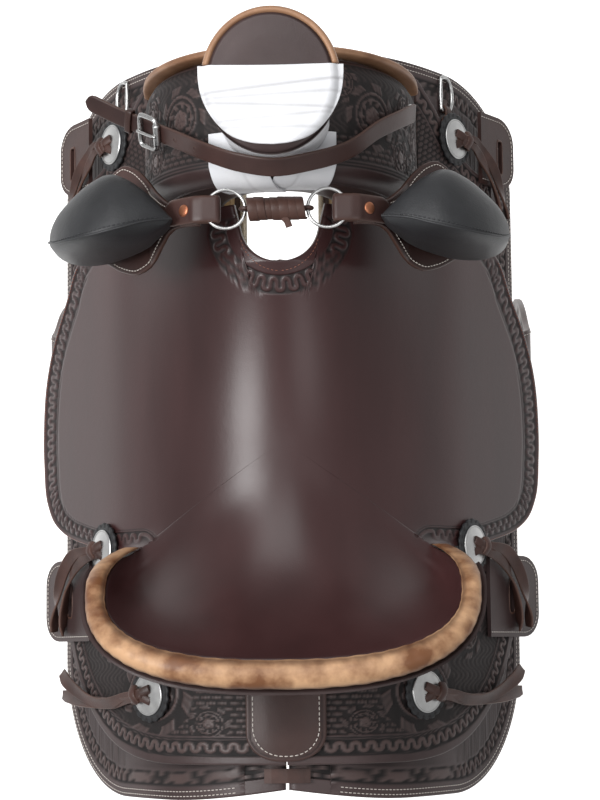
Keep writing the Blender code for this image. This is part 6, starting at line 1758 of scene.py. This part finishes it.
for side, word in sides:
    sheets = []
    for sign in (1.0, -1.0):
        worked = height * bodyMask - burnish * 0.0018 - 0.0004 * seamLine
        lift = sign * fender["thick"] / 2 + (worked if sign > 0 else 0.0)
        x = spots[:, :1] + lift * np.sin(heading)[:, None]
        z = spots[:, 1:] + lift * np.cos(heading)[:, None]
        x, z = np.broadcast_to(x, a.shape), np.broadcast_to(z, a.shape)
        sheets.append(joined(side * x, fender["pivotY"] + a, z))
    top, bottom, seam, worn = mirrored(side, *sheets, np.maximum(cut * bodyMask, seamLine),
                                       np.clip(rim * bodyMask + burnish * 0.6, 0.0, 1.0))
    shell(f"fender{word}", top, bottom, "smooth", {"cut": seam, "rim": worn}, skip=3, body=f"fender_{word.lower()}",
          node=f"fender_{word.lower()}")
    for sign, label in ((1.0, "Front"), (-1.0, "Rear")):
        keep = (runs > 0.01) & (runs < runs[-1] - curl * fender["curl"])
        inset = half[keep] - 0.0042
        n = fender["thick"] / 2 + 0.0002
        stitches = joined(side * (spots[keep, 0] + n * np.sin(heading[keep])), fender["pivotY"] + sign * inset,
                          spots[keep, 1] + n * np.cos(heading[keep]))
        out = joined(side * np.sin(heading[keep]), 0.0, np.cos(heading[keep]))
        stitchRow(f"fenderStitch{label}{word}", stitches, out, pitch=0.005, length=0.0034,
                  body=f"fender_{word.lower()}")
    # the hobble strap that gathers the leather over the stirrup
    turn = fullTurn(90)
    near = nearest(runs, fender["hobble"])
    at = np.array([side * spots[near, 0], fender["pivotY"], spots[near, 1]])
    halfThick, halfWide = fender["hobbleHalf"]
    path = at + joined(side * halfThick * powered(np.sin(turn), 0.5), halfWide * powered(np.cos(turn), 0.25), 0.0)
    out = unit(path - at)
    carried(f"hobbleStrap{word}", path, strapSection(*fender["hobbleBand"]), [0.0, 0.0, 1.0], out,
            "smooth", closed=True, marks={"rim": 0.2}, body=f"fender_{word.lower()}")
print("fenders ready")


# Nodes that keep their frame mesh
kept = {
    "tree_bar_left": "rawhide", "tree_bar_right": "rawhide", "tree_cantle": "rawhide", "tree_fork": "rawhide",
    "ground_seat": "smooth", "link_core": "string", "stirrup_left": "rawhide", "stirrup_right": "rawhide",
    "front_keeper_left": "smooth", "front_keeper_right": "smooth", "rear_keeper_left": "tooled",
    "rear_keeper_right": "tooled", "skirt_tie": "string",
}
for name, finish in kept.items():
    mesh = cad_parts[name].data
    mesh.materials.clear()
    mesh.materials.append(finishes[finish])
print("kept nodes ready")


# Light, floor and finish
studio = {
    "floorZ": -0.725, "floorHalf": 3.0, "world": 0.46, "glow": 0.75, "glowReach": (0.85, 1.4),
    "lamps": (((-0.25, 1.0, 1.9), (0.0, 0.05, 0.0), 1.4, 17.0), ((0.9, -0.6, 1.9), (0.0, -0.1, 0.0), 0.9, 5.0),
              ((-1.5, -0.05, 2.0), (-0.05, -0.06, 0.0), 1.0, 44.0)),
}
world = bpy.data.worlds.new("studioWorld")
world.use_nodes = True
world.node_tree.nodes["Background"].inputs["Color"].default_value = (1.0, 1.0, 1.0, 1.0)
world.node_tree.nodes["Background"].inputs["Strength"].default_value = studio["world"]
bpy.context.scene.world = world
for k, (place, target, size, power) in enumerate(studio["lamps"]):
    lamp = bpy.data.lights.new(f"softbox{k}", "AREA")
    lamp.shape, lamp.size, lamp.energy = "SQUARE", size, power
    item = bpy.data.objects.new(f"softbox{k}", lamp)
    aim(item, place, target, (0.0, 1.0, 0.02))
book = MaterialBook("floorFinish", Roughness=0.9)
book.feed("Base Color", book.mixed(book.noise(3.0), (0.9, 0.9, 0.9), (0.94, 0.94, 0.94)))
# the floor glows only below the saddle, so its sides don't mirror it
away = book.node("ShaderNodeVectorMath", {"operation": "LENGTH"}, {0: book.place()}, output=1)
near, far = studio["glowReach"]
fade = (away * (1.0 / (far - near)) - near / (far - near)).clip(0.0, 1.0)
book.feed("Emission Color", book.mixed(fade, (1.0, 1.0, 1.0), (0.0, 0.0, 0.0)))
book.shader.inputs["Emission Strength"].default_value = studio["glow"]
half = studio["floorHalf"]
mesh = bpy.data.meshes.new("floor")
mesh.from_pydata([(-half, -half, studio["floorZ"]), (half, -half, studio["floorZ"]), (half, half, studio["floorZ"]),
                  (-half, half, studio["floorZ"])], [], [(0, 1, 2, 3)])
mesh.materials.append(book.material)
floor = bpy.data.objects.new("floor", mesh)
bpy.context.scene.collection.objects.link(floor)
bpy.context.scene.view_settings.view_transform = "Standard"
